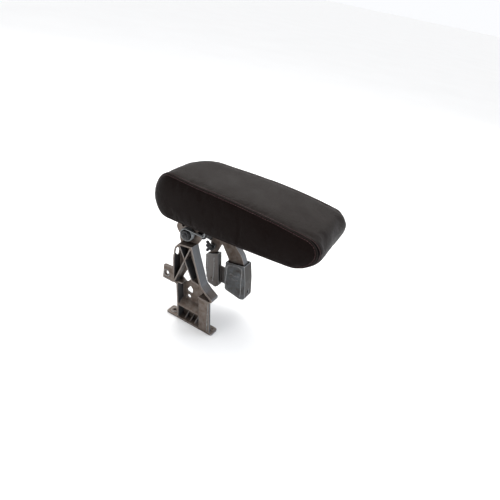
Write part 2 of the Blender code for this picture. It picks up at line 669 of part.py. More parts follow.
def arm_screw(x, y):
    """Screw from below through the arm's plate into the carrier."""
    screw = tilted_pin(SCREW_RADIUS, -ARM_PLATE - 2.0 * FIT_GAP, SCREW_BITE, x, y)
    head_top = -ARM_PLATE - FIT_GAP
    join(screw, tilted_pin(SCREW_HEAD_RADIUS, head_top - SCREW_HEAD_LENGTH, head_top, x, y, 20))
    return screw


def stop_pin():
    """Headed pin on the near cheek that runs in the ear's curved slot."""
    place = polar(AXLE, STOP_SLOT_RADIUS, STOP_REST_ANGLE)
    inner = ARM_NEAR_Y + ARM_PLATE + FIT_GAP
    tip = EAR_NEAR_Y - STOP_PIN_PROUD
    end = inner + STOP_HEAD_LENGTH
    return turned([(tip, 0.0), (tip, STOP_PIN_RADIUS), (inner, STOP_PIN_RADIUS),
                   (inner, STOP_HEAD_RADIUS), (end, STOP_HEAD_RADIUS), (end, 0.0)], place, count=16)


def sector_rivet_places():
    return [(AXLE_X + side * SECTOR_RIVET_SPREAD, AXLE_Z + SECTOR_RIVET_RISE) for side in (-1, 1)]


def sector_rivet(place):
    """Rivet through the far cheek and the sector."""
    inner = ARM_FAR_Y - ARM_PLATE - FIT_GAP
    outer = SECTOR_FAR_Y + FIT_GAP
    return turned([(inner - RIVET_HEAD_LENGTH, 0.0), (inner - RIVET_HEAD_LENGTH, RIVET_HEAD_RADIUS),
                   (inner, RIVET_HEAD_RADIUS), (inner, RIVET_RADIUS), (outer, RIVET_RADIUS),
                   (outer, RIVET_HEAD_RADIUS), (outer + RIVET_HEAD_LENGTH, RIVET_HEAD_RADIUS),
                   (outer + RIVET_HEAD_LENGTH, 0.0)], place, count=16)


def ratchet_sector():
    """Toothed quadrant on the far cheek; a bare notch faces the pawl at each end of the travel."""
    root = SECTOR_TIP_RADIUS - TOOTH_DEPTH
    relief = SECTOR_TIP_RADIUS - SECTOR_RELIEF_DEPTH
    half = SECTOR_RELIEF_HALF_ANGLE
    floor = 0.85 * half
    down = SECTOR_FACING_ANGLE
    up = SECTOR_FACING_ANGLE - LIFT_ANGLE
    first = down + half + SECTOR_MARGIN_ANGLE
    last = up - half - SECTOR_MARGIN_ANGLE
    pitch = (down - up - 2.0 * half) / TOOTH_COUNT
    rim = [(root, first), (root, down + half)]
    rim += [(relief, down + floor), (relief, down), (relief, down - floor)]
    for k in range(TOOTH_COUNT):
        start = down - half - pitch * k
        rim += [(SECTOR_TIP_RADIUS, start), (SECTOR_TIP_RADIUS, start - 0.25 * pitch),
                (root, start - 0.9 * pitch)]
    rim += [(relief, up + floor), (relief, up), (relief, up - floor), (root, up - half), (root, last)]
    outline = [polar(AXLE, radius, angle) for radius, angle in rim]
    outline += [polar(AXLE, SECTOR_HUB_RADIUS, last - turn) for turn in (20.0, 35.0)]
    top = AXLE_Z + SECTOR_RIVET_RISE + RIVET_HEAD_RADIUS + 1.0
    shoulder = AXLE_Z + SECTOR_RIVET_RISE - 3.0
    wide = SECTOR_RIVET_SPREAD + RIVET_HEAD_RADIUS + 1.0
    outline += [(AXLE_X - wide, shoulder), (AXLE_X - wide + 2.0, top),
                (AXLE_X + wide - 2.0, top), (AXLE_X + wide, shoulder)]
    outline += [polar(AXLE, SECTOR_HUB_RADIUS, first + turn) for turn in (65.0, 45.0)]
    sector = prism(outline, SECTOR_NEAR_Y, SECTOR_FAR_Y)
    drill(sector, AXLE, BUSH_FLANGE_RADIUS + FIT_GAP, SECTOR_NEAR_Y, SECTOR_FAR_Y, 24)
    for place in sector_rivet_places():
        drill(sector, place, RIVET_RADIUS + FIT_GAP, SECTOR_NEAR_Y, SECTOR_FAR_Y)
    return sector


def arm_bushing(cheek_low, cheek_high, side):
    """Flanged plastic bush in one cheek; side is -1 where the flange faces the near frame."""
    flanged, plain = (cheek_low, cheek_high) if side < 0 else (cheek_high, cheek_low)
    inner = flanged + side * FIT_GAP
    outer = inner + side * BUSH_FLANGE
    return turned([(outer, BUSH_BORE), (outer, BUSH_FLANGE_RADIUS), (inner, BUSH_FLANGE_RADIUS),
                   (inner, BUSH_OUTER), (plain, BUSH_OUTER), (plain, BUSH_BORE)], AXLE)


def hinge_tube():
    return sleeve(AXLE, BUSH_BORE, HINGE_TUBE_RADIUS, ARM_NEAR_Y + ARM_PLATE + FIT_GAP,
                  ARM_FAR_Y - ARM_PLATE - FIT_GAP, "hinge_tube")


# Axle and what stays on the frames

def hinge_axle():
    """Axle with its head behind the far ear and a clip groove at the near end."""
    head_inner = FAR_NEAR_Y + FAR_EAR_THICKNESS + FIT_GAP
    head_outer = head_inner + AXLE_HEAD_LENGTH
    groove = AXLE_RADIUS - CLIP_GROOVE_DEPTH
    groove_low = CLIP_NEAR_Y - FIT_GAP
    groove_high = CLIP_FAR_Y + FIT_GAP
    tail = groove_low - AXLE_TAIL
    return turned([(tail, 0.0), (tail, AXLE_RADIUS - AXLE_CHAMFER), (tail + AXLE_CHAMFER, AXLE_RADIUS),
                   (groove_low, AXLE_RADIUS), (groove_low, groove), (groove_high, groove),
                   (groove_high, AXLE_RADIUS), (head_inner, AXLE_RADIUS), (head_inner, AXLE_HEAD_RADIUS),
                   (head_outer - AXLE_CHAMFER, AXLE_HEAD_RADIUS),
                   (head_outer, AXLE_HEAD_RADIUS - AXLE_CHAMFER), (head_outer, 0.0)], AXLE)


def axle_clip():
    """Open retaining ring in the axle's groove."""
    bore = AXLE_RADIUS - CLIP_GROOVE_DEPTH + FIT_GAP
    ring = sleeve(AXLE, bore, CLIP_RADIUS, CLIP_NEAR_Y, CLIP_FAR_Y, "axle_clip")
    half = 0.6 * AXLE_RADIUS
    low = AXLE_Z - 2.0 * CLIP_RADIUS
    mouth = [(AXLE_X - half, AXLE_Z), (AXLE_X + half, AXLE_Z), (AXLE_X + half, low), (AXLE_X - half, low)]
    return cut(ring, prism(mouth, CLIP_NEAR_Y - CUT_OVERRUN, CLIP_FAR_Y + CUT_OVERRUN))


def spring_sleeve():
    return sleeve(AXLE, BUSH_BORE, BUSH_BORE + SLEEVE_WALL, SLEEVE_NEAR_Y, EAR_NEAR_Y - FIT_GAP,
                  "spring_sleeve")


def spacer_sleeve():
    return sleeve(AXLE, BUSH_BORE, BUSH_OUTER + 1.0, SECTOR_NEAR_Y + BUSH_FLANGE + FIT_GAP,
                  FAR_NEAR_Y - FIT_GAP, "spacer_sleeve")


def roof_height(x):
    share = (x - ROOF_REAR_X) / (ROOF_FRONT_X - ROOF_REAR_X)
    return ROOF_REAR_Z + share * (ROOF_FRONT_Z - ROOF_REAR_Z)


def torsion_spring():
    """Coil round the sleeve; one leg bears up on the arm's tab, the other down on the roof."""
    start = (ARM_TAB_FRONT_X + 2.0 * SPRING_WIRE_RADIUS + 1.0, SPRING_NEAR_Y)
    top = AXLE_Z + SPRING_MEAN_RADIUS
    points = [(start[0], start[1], top + SPRING_HOOK_HEIGHT), (start[0], start[1], top + 2.0),
              (start[0] - 0.6, start[1], top + 0.6), (start[0] - 2.0, start[1], top)]
    per_turn = 16
    steps = round(SPRING_TURNS * per_turn)
    for k in range(steps + 1):
        share = k / steps
        x, z = polar(AXLE, SPRING_MEAN_RADIUS, 90.0 + 360.0 * SPRING_TURNS * share)
        points.append((x, SPRING_NEAR_Y + (SPRING_FAR_Y - SPRING_NEAR_Y) * share, z))
    leaving = math.radians(90.0 + 360.0 * SPRING_TURNS)
    direction = Vector((-math.sin(leaving), math.cos(leaving)))
    x, y, z = points[-1]
    rest = SPRING_WIRE_RADIUS / math.cos(math.atan2(ROOF_FRONT_Z - ROOF_REAR_Z, ROOF_FRONT_X - ROOF_REAR_X))
    end_x = x + direction.x * 8.0
    end_z = roof_height(end_x) + rest + FIT_GAP + 1.2
    points.append((end_x, y, end_z))
    return wire(points, SPRING_WIRE_RADIUS, "torsion_spring")


# Near side frame

def foot_holes():
    """Centre and scale of the two holes in the near foot."""
    middle = 0.5 * (NEAR_FACE_Y + FOOT_BACK_Y)
    return (((FOOT_REAR_X + FOOT_HOLE_INSET, middle), 1.0),
            ((FOOT_FRONT_X - 0.6 * FOOT_HOLE_INSET, middle + 3.0), FOOT_FRONT_HOLE_SCALE))


def ear_outline():
    """Bulb round the axle with a lobe to the rear and a neck down to the roof."""
    turns = [(NEAR_EAR_RADIUS, angle) for angle in range(-20, 141, 16)]
    turns += [(NEAR_EAR_LOBE - 1.0, 158.0), (NEAR_EAR_LOBE, 168.0), (NEAR_EAR_LOBE, 178.0),
              (NEAR_EAR_LOBE - 3.0, 192.0)]
    return [polar(AXLE, radius, angle) for radius, angle in turns] + list(EAR_NECK)


def stop_slot():
    """Curved slot that the stop pin runs in, from rest to fully lifted."""
    half = STOP_PIN_RADIUS + FIT_GAP
    steps = 8
    angles = [STOP_REST_ANGLE + LIFT_ANGLE * k / steps for k in range(steps + 1)]
    inner = [polar(AXLE, STOP_SLOT_RADIUS - half, angle) for angle in angles]
    outer = [polar(AXLE, STOP_SLOT_RADIUS + half, angle) for angle in reversed(angles)]
    start = polar(AXLE, STOP_SLOT_RADIUS, STOP_REST_ANGLE)
    end = polar(AXLE, STOP_SLOT_RADIUS, STOP_REST_ANGLE + LIFT_ANGLE)
    cap_end = [polar(end, half, STOP_REST_ANGLE + LIFT_ANGLE + 180.0 - 45.0 * k) for k in (1, 2, 3)]
    cap_start = [polar(start, half, STOP_REST_ANGLE - 45.0 * k) for k in (1, 2, 3)]
    return inner + cap_end + outer + cap_start


def near_foot():
    plan = rounded([(FOOT_REAR_X, NEAR_FACE_Y, 3.0), (FOOT_FRONT_X, NEAR_FACE_Y, 3.0),
                    (FOOT_FRONT_X, FOOT_BACK_Y, 5.0), (FOOT_REAR_X, FOOT_BACK_Y, 5.0)])
    foot = prism(plan, 0.0, FOOT_THICKNESS, "Z")
    for place, scale in foot_holes():
        boss = circle(place, FOOT_BOSS_RADIUS * scale)
        join(foot, prism(boss, 0.5 * FOOT_THICKNESS, FOOT_THICKNESS + FOOT_BOSS_HEIGHT, "Z"))
    for place, scale in foot_holes():
        drill(foot, place, FOOT_HOLE_RADIUS * scale, 0.0, FOOT_THICKNESS + FOOT_BOSS_HEIGHT, axis="Z")
    return foot


def near_ribs():
    """Crossed ribs above the pedestal and the ribs that frame them."""
    inside = NEAR_WEB_Y + 0.5 * NEAR_WEB
    return [strip((ROOF_FRONT_X - 2.0, ROOF_FRONT_Z - 2.5), (-103.6, 85.5), NEAR_RIB, NEAR_FACE_Y, inside),
            strip((ROOF_REAR_X + 1.5, ROOF_REAR_Z - 2.0), (-63.0, 107.5), NEAR_RIB, NEAR_FACE_Y, inside),
            strip((-64.3, 106.8), (-41.5, 104.2), NEAR_WALL, NEAR_FACE_Y, inside),
            strip((-104.0, 84.8), (-86.0, 87.0), NEAR_RIB, NEAR_FACE_Y + 3.0, inside)]


def near_shelf():
    """Sloping shelf across the pedestal's pocket."""
    back = NEAR_WEB_Y + CUT_OVERRUN
    section = [(NEAR_FACE_Y, SHELF_NEAR_Z), (back, SHELF_NEAR_Z + SHELF_RISE),
               (back, SHELF_NEAR_Z + SHELF_RISE + SHELF_THICKNESS),
               (NEAR_FACE_Y, SHELF_NEAR_Z + SHELF_THICKNESS)]
    return prism(section, SHELF_REAR_X, SHELF_FRONT_X, "X")


def near_gusset(x):
    """Triangular gusset between the foot and the web."""
    back = NEAR_WEB_Y + CUT_OVERRUN
    section = [(NEAR_FACE_Y + 4.0, FOOT_THICKNESS - 0.5), (back, FOOT_THICKNESS - 0.5),
               (back, FOOT_THICKNESS + GUSSET_HEIGHT)]
    return prism(section, x - 0.5 * GUSSET_THICKNESS, x + 0.5 * GUSSET_THICKNESS, "X")


def add_side_tab(frame):
    """Slotted tab on the rear edge, with a lip along its top and a raised ring round the slot."""
    tab = rounded([(TAB_REAR_X, TAB_LOW_Z, 1.5), (-105.5, TAB_LOW_Z, 0.0), (-108.8, TAB_HIGH_Z + 2.5, 0.0),
                   (TAB_REAR_X, TAB_HIGH_Z, 1.5)])
    join(frame, prism(tab, NEAR_FACE_Y, NEAR_FACE_Y + TAB_THICKNESS))
    lip_rear = TAB_REAR_X + 1.0
    lip = [(lip_rear, TAB_HIGH_Z - TAB_LIP_DROP), (TAB_ROOT_X, TAB_HIGH_Z),
           (TAB_ROOT_X, TAB_HIGH_Z + TAB_LIP_THICKNESS),
           (lip_rear, TAB_HIGH_Z - TAB_LIP_DROP + TAB_LIP_THICKNESS)]
    join(frame, prism(lip, NEAR_FACE_Y - 1.0, NEAR_FACE_Y - 1.0 + TAB_LIP_DEPTH))
    centre = (TAB_REAR_X + TAB_BOSS_RADIUS + 2.0, 0.5 * (TAB_LOW_Z + TAB_HIGH_Z) + 0.5)
    ring_face = NEAR_FACE_Y - TAB_BOSS_PROUD
    join(frame, prism(circle(centre, TAB_BOSS_RADIUS), ring_face, NEAR_FACE_Y + CUT_OVERRUN))
    cut(frame, prism(circle(centre, TAB_BOSS_RADIUS - 2.0), ring_face - CUT_OVERRUN, NEAR_FACE_Y + 0.4))
    slot = stadium(centre, TAB_SLOT_LENGTH, TAB_SLOT_RADIUS)
    cut(frame, prism(slot, NEAR_FACE_Y - CUT_OVERRUN, NEAR_FACE_Y + TAB_THICKNESS + CUT_OVERRUN))


def near_side_frame():
    """One casting: cross-braced frame on a hollow pedestal, with foot, side tab and axle ear."""
    frame = prism(rounded(NEAR_OUTLINE), NEAR_FACE_Y, NEAR_BACK_Y)
    cut(frame, prism(rounded(NEAR_BAYS), NEAR_FACE_Y - CUT_OVERRUN, NEAR_WEB_Y))
    cut(frame, prism(BEHIND_COLUMN, NEAR_FACE_Y + COLUMN_DEPTH, NEAR_BACK_Y + CUT_OVERRUN))
    join(frame, *near_ribs())
    join(frame, near_foot(), near_shelf())
    for x in GUSSET_XS:
        join(frame, near_gusset(x))
    capital = [(CAPITAL_REAR_X, CAPITAL_Z), (CAPITAL_FRONT_X - 1.0, CAPITAL_Z),
               (CAPITAL_FRONT_X, CAPITAL_Z + CAPITAL_THICKNESS),
               (CAPITAL_REAR_X, CAPITAL_Z + CAPITAL_THICKNESS)]
    join(frame, prism(capital, NEAR_FACE_Y - CAPITAL_PROUD, NEAR_FACE_Y + COLUMN_DEPTH))
    add_side_tab(frame)
    join(frame, prism(ear_outline(), EAR_NEAR_Y, EAR_FAR_Y))
    drill(frame, AXLE, BUSH_BORE, NEAR_FACE_Y, EAR_FAR_Y, 24)
    cut(frame, prism(stop_slot(), EAR_NEAR_Y - CUT_OVERRUN, EAR_FAR_Y + CUT_OVERRUN))
    for window in (BRACE_WINDOW, PEDESTAL_WINDOW):
        cut(frame, prism(rounded(window), NEAR_WEB_Y - CUT_OVERRUN, NEAR_BACK_Y + CUT_OVERRUN))
    drill(frame, WEB_HOLE_PLACE, WEB_HOLE_RADIUS, NEAR_WEB_Y, NEAR_BACK_Y)
    cut(frame, prism(rounded(REAR_WINDOW), *REAR_WINDOW_XS, "X"))
    return tidy(frame)


# Far side frame and its base bracket

def far_side_frame():
    """Casting with two legs, a web on the near side and deep flanges front and rear."""
    web_back = FAR_NEAR_Y + FAR_WEB
    past_back = FAR_BACK_Y + CUT_OVERRUN
    frame = prism(rounded(FAR_OUTLINE), FAR_NEAR_Y, FAR_BACK_Y)
    join(frame, prism(circle(AXLE, FAR_EAR_RADIUS, 32), FAR_NEAR_Y, FAR_BACK_Y))
    cut(frame, prism(rounded(FAR_HOLLOW), web_back, past_back))
    ear_hollow = circle(AXLE, FAR_EAR_RADIUS - FAR_FLANGE, 32)
    cut(frame, prism(ear_hollow, FAR_NEAR_Y + FAR_EAR_THICKNESS, past_back))
    low = FAR_LEG_BOTTOM_Z - BARE_LEG_DROP
    bare_leg = [(BARE_LEG_REAR_X, low), (BARE_LEG_FRONT_X, low),
                (BARE_LEG_FRONT_X, REAR_SHOE_TOP_Z), (BARE_LEG_REAR_X, REAR_SHOE_TOP_Z)]
    cut(frame, prism(bare_leg, web_back, past_back))
    for start, end in FAR_RIBS:
        join(frame, strip(start, end, FAR_RIB, FAR_NEAR_Y + 1.0, FAR_BACK_Y - 3.0))
    bolt_hole = SHOE_BOLT_RADIUS + FIT_GAP
    front_end = FRONT_SHOE_BACK_Y - SHOE_WALL - FIT_GAP
    join(frame, prism(circle(FRONT_BOLT, bolt_hole + BOSS_WALL), FAR_NEAR_Y + 1.0, front_end))
    join(frame, prism(circle(PAWL_PIVOT, PAWL_BOSS_RADIUS, 16), PAWL_FAR_Y + FIT_GAP, FAR_NEAR_Y + 1.0))
    drill(frame, AXLE, BUSH_BORE, FAR_NEAR_Y, FAR_BACK_Y, 24)
    drill(frame, FRONT_BOLT, bolt_hole, FAR_NEAR_Y + 3.0, front_end)
    drill(frame, REAR_BOLT, bolt_hole, FAR_NEAR_Y, FAR_BACK_Y)
    drill(frame, PAWL_PIVOT, PAWL_PIN_RADIUS + FIT_GAP, PAWL_FAR_Y, web_back)
    return tidy(frame)


def shoe(outer, inner, back):
    """Open-topped pressed box from its side outline and the outline of its inside."""
    box = prism(rounded(outer), SHOE_NEAR_Y, back)
    return cut(box, prism(rounded(inner), SHOE_NEAR_Y + SHOE_WALL, back - SHOE_WALL))


def far_base_bracket():
    """Pressed double shoe: the far frame's legs stand in it, and a link joins its halves."""
    bracket = join(shoe(FRONT_SHOE, FRONT_SHOE_INSIDE, FRONT_SHOE_BACK_Y),
                   shoe(REAR_SHOE, REAR_SHOE_INSIDE, REAR_SHOE_BACK_Y))
    link_y = 0.5 * (SHOE_NEAR_Y + REAR_SHOE_BACK_Y) + LINK_OFFSET_Y
    link = [(LINK_REAR_X + 2.5, LINK_LOW_Z), (LINK_FRONT_X, LINK_LOW_Z),
            (LINK_FRONT_X, LINK_HIGH_Z), (LINK_REAR_X, LINK_HIGH_Z)]
    join(bracket, prism(link, link_y, link_y + SHOE_WALL))
    for place, back in ((FRONT_BOLT, FRONT_SHOE_BACK_Y), (REAR_BOLT, REAR_SHOE_BACK_Y)):
        drill(bracket, place, SHOE_BOLT_RADIUS + FIT_GAP, back - SHOE_WALL, back)
    slot = stadium(PANEL_SLOT_PLACE, PANEL_SLOT_LENGTH, PANEL_SLOT_RADIUS)
    cut(bracket, prism(slot, *PANEL_SLOT_XS, "X"))
    return tidy(bracket)


def shoe_bolt(place, back, tip):
    """Hexagon-headed bolt from the far side through a shoe into the frame's leg."""
    seat = back + FIT_GAP
    shank = prism(circle(place, SHOE_BOLT_RADIUS, 16), tip, seat + 0.5)
    return join(shank, prism(circle(place, SHOE_BOLT_HEAD, 6), seat, seat + SHOE_BOLT_HEAD_LENGTH))


# Pawl

def ratchet_pawl():
    """Bell-crank pawl: its nose faces the sector's teeth from below."""
    tip_z = AXLE_Z - SECTOR_TIP_RADIUS - PAWL_TIP_CLEARANCE
    nose = 0.5 * PAWL_NOSE_WIDTH
    outline = [(AXLE_X - nose, tip_z - 0.2), (AXLE_X + nose, tip_z)]
    outline += [(PAWL_X + x, PAWL_Z + z) for x, z in PAWL_OUTLINE]
    pawl = prism(outline, PAWL_NEAR_Y, PAWL_FAR_Y)
    join(pawl, prism(circle(PAWL_PIVOT, PAWL_HUB_RADIUS), PAWL_NEAR_Y, PAWL_FAR_Y))
    return drill(pawl, PAWL_PIVOT, PAWL_PIN_RADIUS + FIT_GAP, PAWL_NEAR_Y, PAWL_FAR_Y)


def pawl_pin():
    head = PAWL_NEAR_Y - FIT_GAP
    top = head - PAWL_PIN_HEAD_LENGTH
    end = FAR_NEAR_Y + FAR_WEB
    return turned([(top, 0.0), (top, PAWL_PIN_HEAD_RADIUS), (head, PAWL_PIN_HEAD_RADIUS),
                   (head, PAWL_PIN_RADIUS), (end, PAWL_PIN_RADIUS), (end, 0.0)], PAWL_PIVOT, count=16)


def pawl_spring():
    """Small return coil round the leg's boss, with its tail against the leg."""
    radius = PAWL_BOSS_RADIUS + FIT_GAP + PAWL_SPRING_WIRE_RADIUS
    low = PAWL_FAR_Y + FIT_GAP + PAWL_SPRING_WIRE_RADIUS
    high = FAR_NEAR_Y - FIT_GAP - PAWL_SPRING_WIRE_RADIUS
    per_turn = 14
    steps = round(PAWL_SPRING_TURNS * per_turn)
    points = []
    for k in range(steps + 1):
        x, z = polar(PAWL_PIVOT, radius, 180.0 + 360.0 * PAWL_SPRING_TURNS * k / steps)
        points.append((x, low + (high - low) * k / steps, z))
    points.append((PAWL_X + radius, high, PAWL_Z + 9.0))
    return wire(points, PAWL_SPRING_WIRE_RADIUS, "pawl_spring", 1)


def main():
    for obj in list(bpy.data.objects):
        bpy.data.objects.remove(obj)
    leather = material("pad_leather", (0.060, 0.053, 0.050), 0.5, 0.0)
    cast = material("cast_alloy", (0.150, 0.128, 0.112), 0.48, 0.9)
    plated = material("plated_steel", (0.115, 0.120, 0.120), 0.3, 0.9)
    black = material("black_steel", (0.012, 0.012, 0.013), 0.4, 0.6)
    bright = material("bright_steel", (0.420, 0.430, 0.440), 0.28, 1.0)
    plastic = material("black_plastic", (0.018, 0.018, 0.019), 0.55, 0.0)
    bushing = material("bushing_plastic", (0.300, 0.290, 0.260), 0.5, 0.0)

    frames = empty("frames", (0.0, 0.0, 0.0))
    armrest = empty("armrest", (AXLE_X, 0.0, AXLE_Z))
    pawl = empty("pawl", (PAWL_X, PAWL_NEAR_Y, PAWL_Z))

    finish(near_side_frame(), "near_side_frame", cast, frames)
    finish(far_side_frame(), "far_side_frame", cast, frames)
    finish(far_base_bracket(), "far_base_bracket", plated, frames)
    finish(hinge_axle(), "hinge_axle", bright, frames)
    finish(axle_clip(), "axle_clip", black, frames)
    finish(spring_sleeve(), "spring_sleeve", plastic, frames)
    finish(spacer_sleeve(), "spacer_sleeve", bright, frames)
    finish(torsion_spring(), "torsion_spring", bright, frames)
    front_bolt = shoe_bolt(FRONT_BOLT, FRONT_SHOE_BACK_Y, FAR_NEAR_Y + FAR_WEB)
    finish(front_bolt, "shoe_bolt_front", bright, frames)
    rear_bolt = shoe_bolt(REAR_BOLT, REAR_SHOE_BACK_Y, FAR_NEAR_Y - REAR_BOLT_PROUD)
    finish(rear_bolt, "shoe_bolt_rear", bright, frames)
    finish(pawl_pin(), "pawl_pin", bright, frames)
    finish(pawl_spring(), "pawl_spring", bright, frames)

    finish(pad_cushion(), "pad_cushion", leather, armrest)
    finish(pad_carrier(), "pad_carrier", plastic, armrest)
    finish(hinge_arm(), "hinge_arm", black, armrest)
    finish(hinge_tube(), "hinge_tube", black, armrest)
    finish(arm_bushing(ARM_NEAR_Y, ARM_NEAR_Y + ARM_PLATE, -1), "near_arm_bushing", bushing, armrest)
    finish(arm_bushing(ARM_FAR_Y - ARM_PLATE, ARM_FAR_Y, 1), "far_arm_bushing", bushing, armrest)
    finish(ratchet_sector(), "ratchet_sector", black, armrest)
    finish(stop_pin(), "stop_pin", bright, armrest)
    for number, place in enumerate(sector_rivet_places(), 1):
        finish(sector_rivet(place), f"sector_rivet_{number}", bright, armrest)
    number = 0
    for x in SCREW_XS:
        for y in SCREW_YS:
            number += 1
            finish(arm_screw(x, y), f"arm_screw_{number}", bright, armrest)

    finish(ratchet_pawl(), "ratchet_pawl", cast, pawl)


main()
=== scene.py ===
"""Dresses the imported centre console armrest: stitched leather pad, cast frames and plated hinge parts."""

import json
import math

import bmesh
import bpy
import numpy as np
from mathutils import Matrix, Vector
from mathutils.kdtree import KDTree


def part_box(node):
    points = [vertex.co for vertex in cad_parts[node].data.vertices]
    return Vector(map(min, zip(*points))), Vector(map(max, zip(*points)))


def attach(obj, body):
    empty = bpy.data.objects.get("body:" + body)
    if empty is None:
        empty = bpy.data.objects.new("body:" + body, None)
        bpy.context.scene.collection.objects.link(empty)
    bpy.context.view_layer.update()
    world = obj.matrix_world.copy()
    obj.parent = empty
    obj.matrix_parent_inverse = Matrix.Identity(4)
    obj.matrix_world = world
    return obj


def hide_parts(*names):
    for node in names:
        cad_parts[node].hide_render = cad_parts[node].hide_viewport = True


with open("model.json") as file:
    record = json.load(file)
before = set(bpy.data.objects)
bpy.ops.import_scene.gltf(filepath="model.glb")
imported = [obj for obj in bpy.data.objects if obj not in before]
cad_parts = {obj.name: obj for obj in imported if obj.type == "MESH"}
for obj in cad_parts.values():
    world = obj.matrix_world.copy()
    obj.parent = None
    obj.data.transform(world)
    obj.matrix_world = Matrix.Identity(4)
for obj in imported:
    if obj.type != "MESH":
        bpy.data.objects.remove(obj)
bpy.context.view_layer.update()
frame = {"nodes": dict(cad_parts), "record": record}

MM = 0.001
# Between the base bracket's two shoes (metres)
SHOE_GAP_X = (-0.050, -0.040)
TAU = 2.0 * math.pi

# Camera, fitted to the photograph's edges (metres, pixels for a 500 pixel frame)
CAMERA_PLACE = (0.289188, -0.603954, 0.608117)
CAMERA_RIGHT = (0.8521145, 0.4953558, 0.1688889)
CAMERA_UP = (-0.3939319, 0.3946208, 0.8301157)
CAMERA_BACK = (0.3445555, -0.7738844, 0.5313986)
FOCAL_PIXELS = 427.2
IMAGE_PIXELS = 500.0
SENSOR = 36.0

# Pad cover (millimetres)
COVER_REAR_X = -165.5
COVER_FRONT_X = 164.8
PAD_TOP_Z = 298.6
PAD_THICKNESS = 67.0
THICKNESS_TAPER = 0.198
WIDTH_TAPER = 0.10
HALF_WIDTH = 65.5
ARCH = 10.6
REAR_RISE = 6.0
CROWN = 0.4
REAR_RADII = (38.4, 28.6)
FRONT_RADII = (21.6, 44.2)
PLAN_RADIUS = {"rear_far": 57.8, "rear_near": 7.0, "front_far": 25.3, "front_near": 18.5}
PLAN_MARGIN = 1.0
SIDE_BOW = {"far": 3.4, "near": 5.6}
FRONT_LEAN = {"far": 4.0, "near": -4.9}
SEAM_INSET = 5.0
SIDE_SHOULDER = 9.0
REAR_SEAM_INSET = 12.5
REAR_SHOULDER = 16.0
WRAP_START = 0.74
WRAP_END = 0.97
SIDE_BULGE = 1.0
TOP_EDGE_DIP = 0.7
TOP_EDGE_RUN = 11.0
GROOVE_DEPTH = 1.5
GROOVE_WIDTH = 0.75
RIDGE_HEIGHT = 0.85
RIDGE_PLACE = 1.7
RIDGE_WIDTH = 0.9
TOP_STITCH_PLACE = 2.6
SIDE_STITCH_PLACE = 3.6
STITCH_DIP = 0.4
STITCH_DIP_WIDTH = 0.7
STITCH_PITCH = 4.6
STITCH_LENGTH = 3.5
STITCH_RADIUS = 0.38
# Share along a stitch, lift and thickness in stitch radii
STITCH_PROFILE = ((0.0, -0.9, 0.45), (0.12, -0.1, 0.85), (0.5, 0.22, 1.0), (0.88, -0.1, 0.85),
                  (1.0, -0.9, 0.45))
LONG_STEPS = 136
ARC_STEPS = (26, 14, 24, 16)
SIDE_LIMIT = 19.5
CAP_STEPS = 8
CARRIER_LET_IN = 6.6
CARRIER_CORNER = 14.0

# Cloth simulation of the cover over its stuffing
CLOTH_VOXEL = 5.0
CLOTH_HELD_BY_SEAM = 3.5
CLOTH_FRAMES = 18
CLOTH_PRESSURE = 6.0
CLOTH_SLACK = 0.012
CLOTH_MOST = 1.6
CLOTH_NEIGHBOURS = 5
CLOTH_FABRIC = {"quality": 6, "mass": 0.2, "tension_stiffness": 20.0, "compression_stiffness": 20.0,
                "shear_stiffness": 8.0, "bending_stiffness": 0.4}

# Pressed beads on the base bracket's near face, as (x, z) (millimetres)
PANEL_RIM = ((-32.0, 59.0), (-2.0, 51.5), (3.0, 56.0), (-1.0, 88.0),
             (-6.0, 118.5), (-35.0, 112.5), (-36.0, 90.0))
PANEL_RIBS = (((-29.0, 94.0), (-24.0, 97.0), (-18.5, 94.5), (-13.0, 97.5), (-8.0, 97.0)),
              ((-29.5, 84.5), (-24.5, 87.5), (-19.0, 85.0), (-13.5, 88.0), (-8.0, 87.5)))
REAR_SHOE_RIBS = (((-66.0, 57.0), (-66.5, 75.0), (-68.0, 98.0), (-71.0, 116.0)),
                  ((-82.0, 60.0), (-83.5, 80.0), (-84.5, 98.0), (-87.0, 110.0)))
BEAD_RADIUS = 1.2
BEAD_SUNK = 0.2

# Raised rings and lines on the near side frame (millimetres)
TAB_RING_CENTRE = (-121.5, 98.0)
TAB_RING_RADIUS = 6.9
TAB_RING_PROUD = 1.6
TAB_RING_BEAD = 0.8
TAB_FACE_Y = -52.0
TAB_LIP = ((-130.0, 84.0), (-112.0, 84.0))
FOOT_RING_CENTRE = (-103.0, -40.0)
FOOT_RING_RADIUS = 7.0
FOOT_TOP_Z = 3.6
COLUMN_LINE = ((-14.5, 6.0), (-20.5, 74.0))
COLUMN_LINE_RADIUS = 0.9


# Nodes and materials

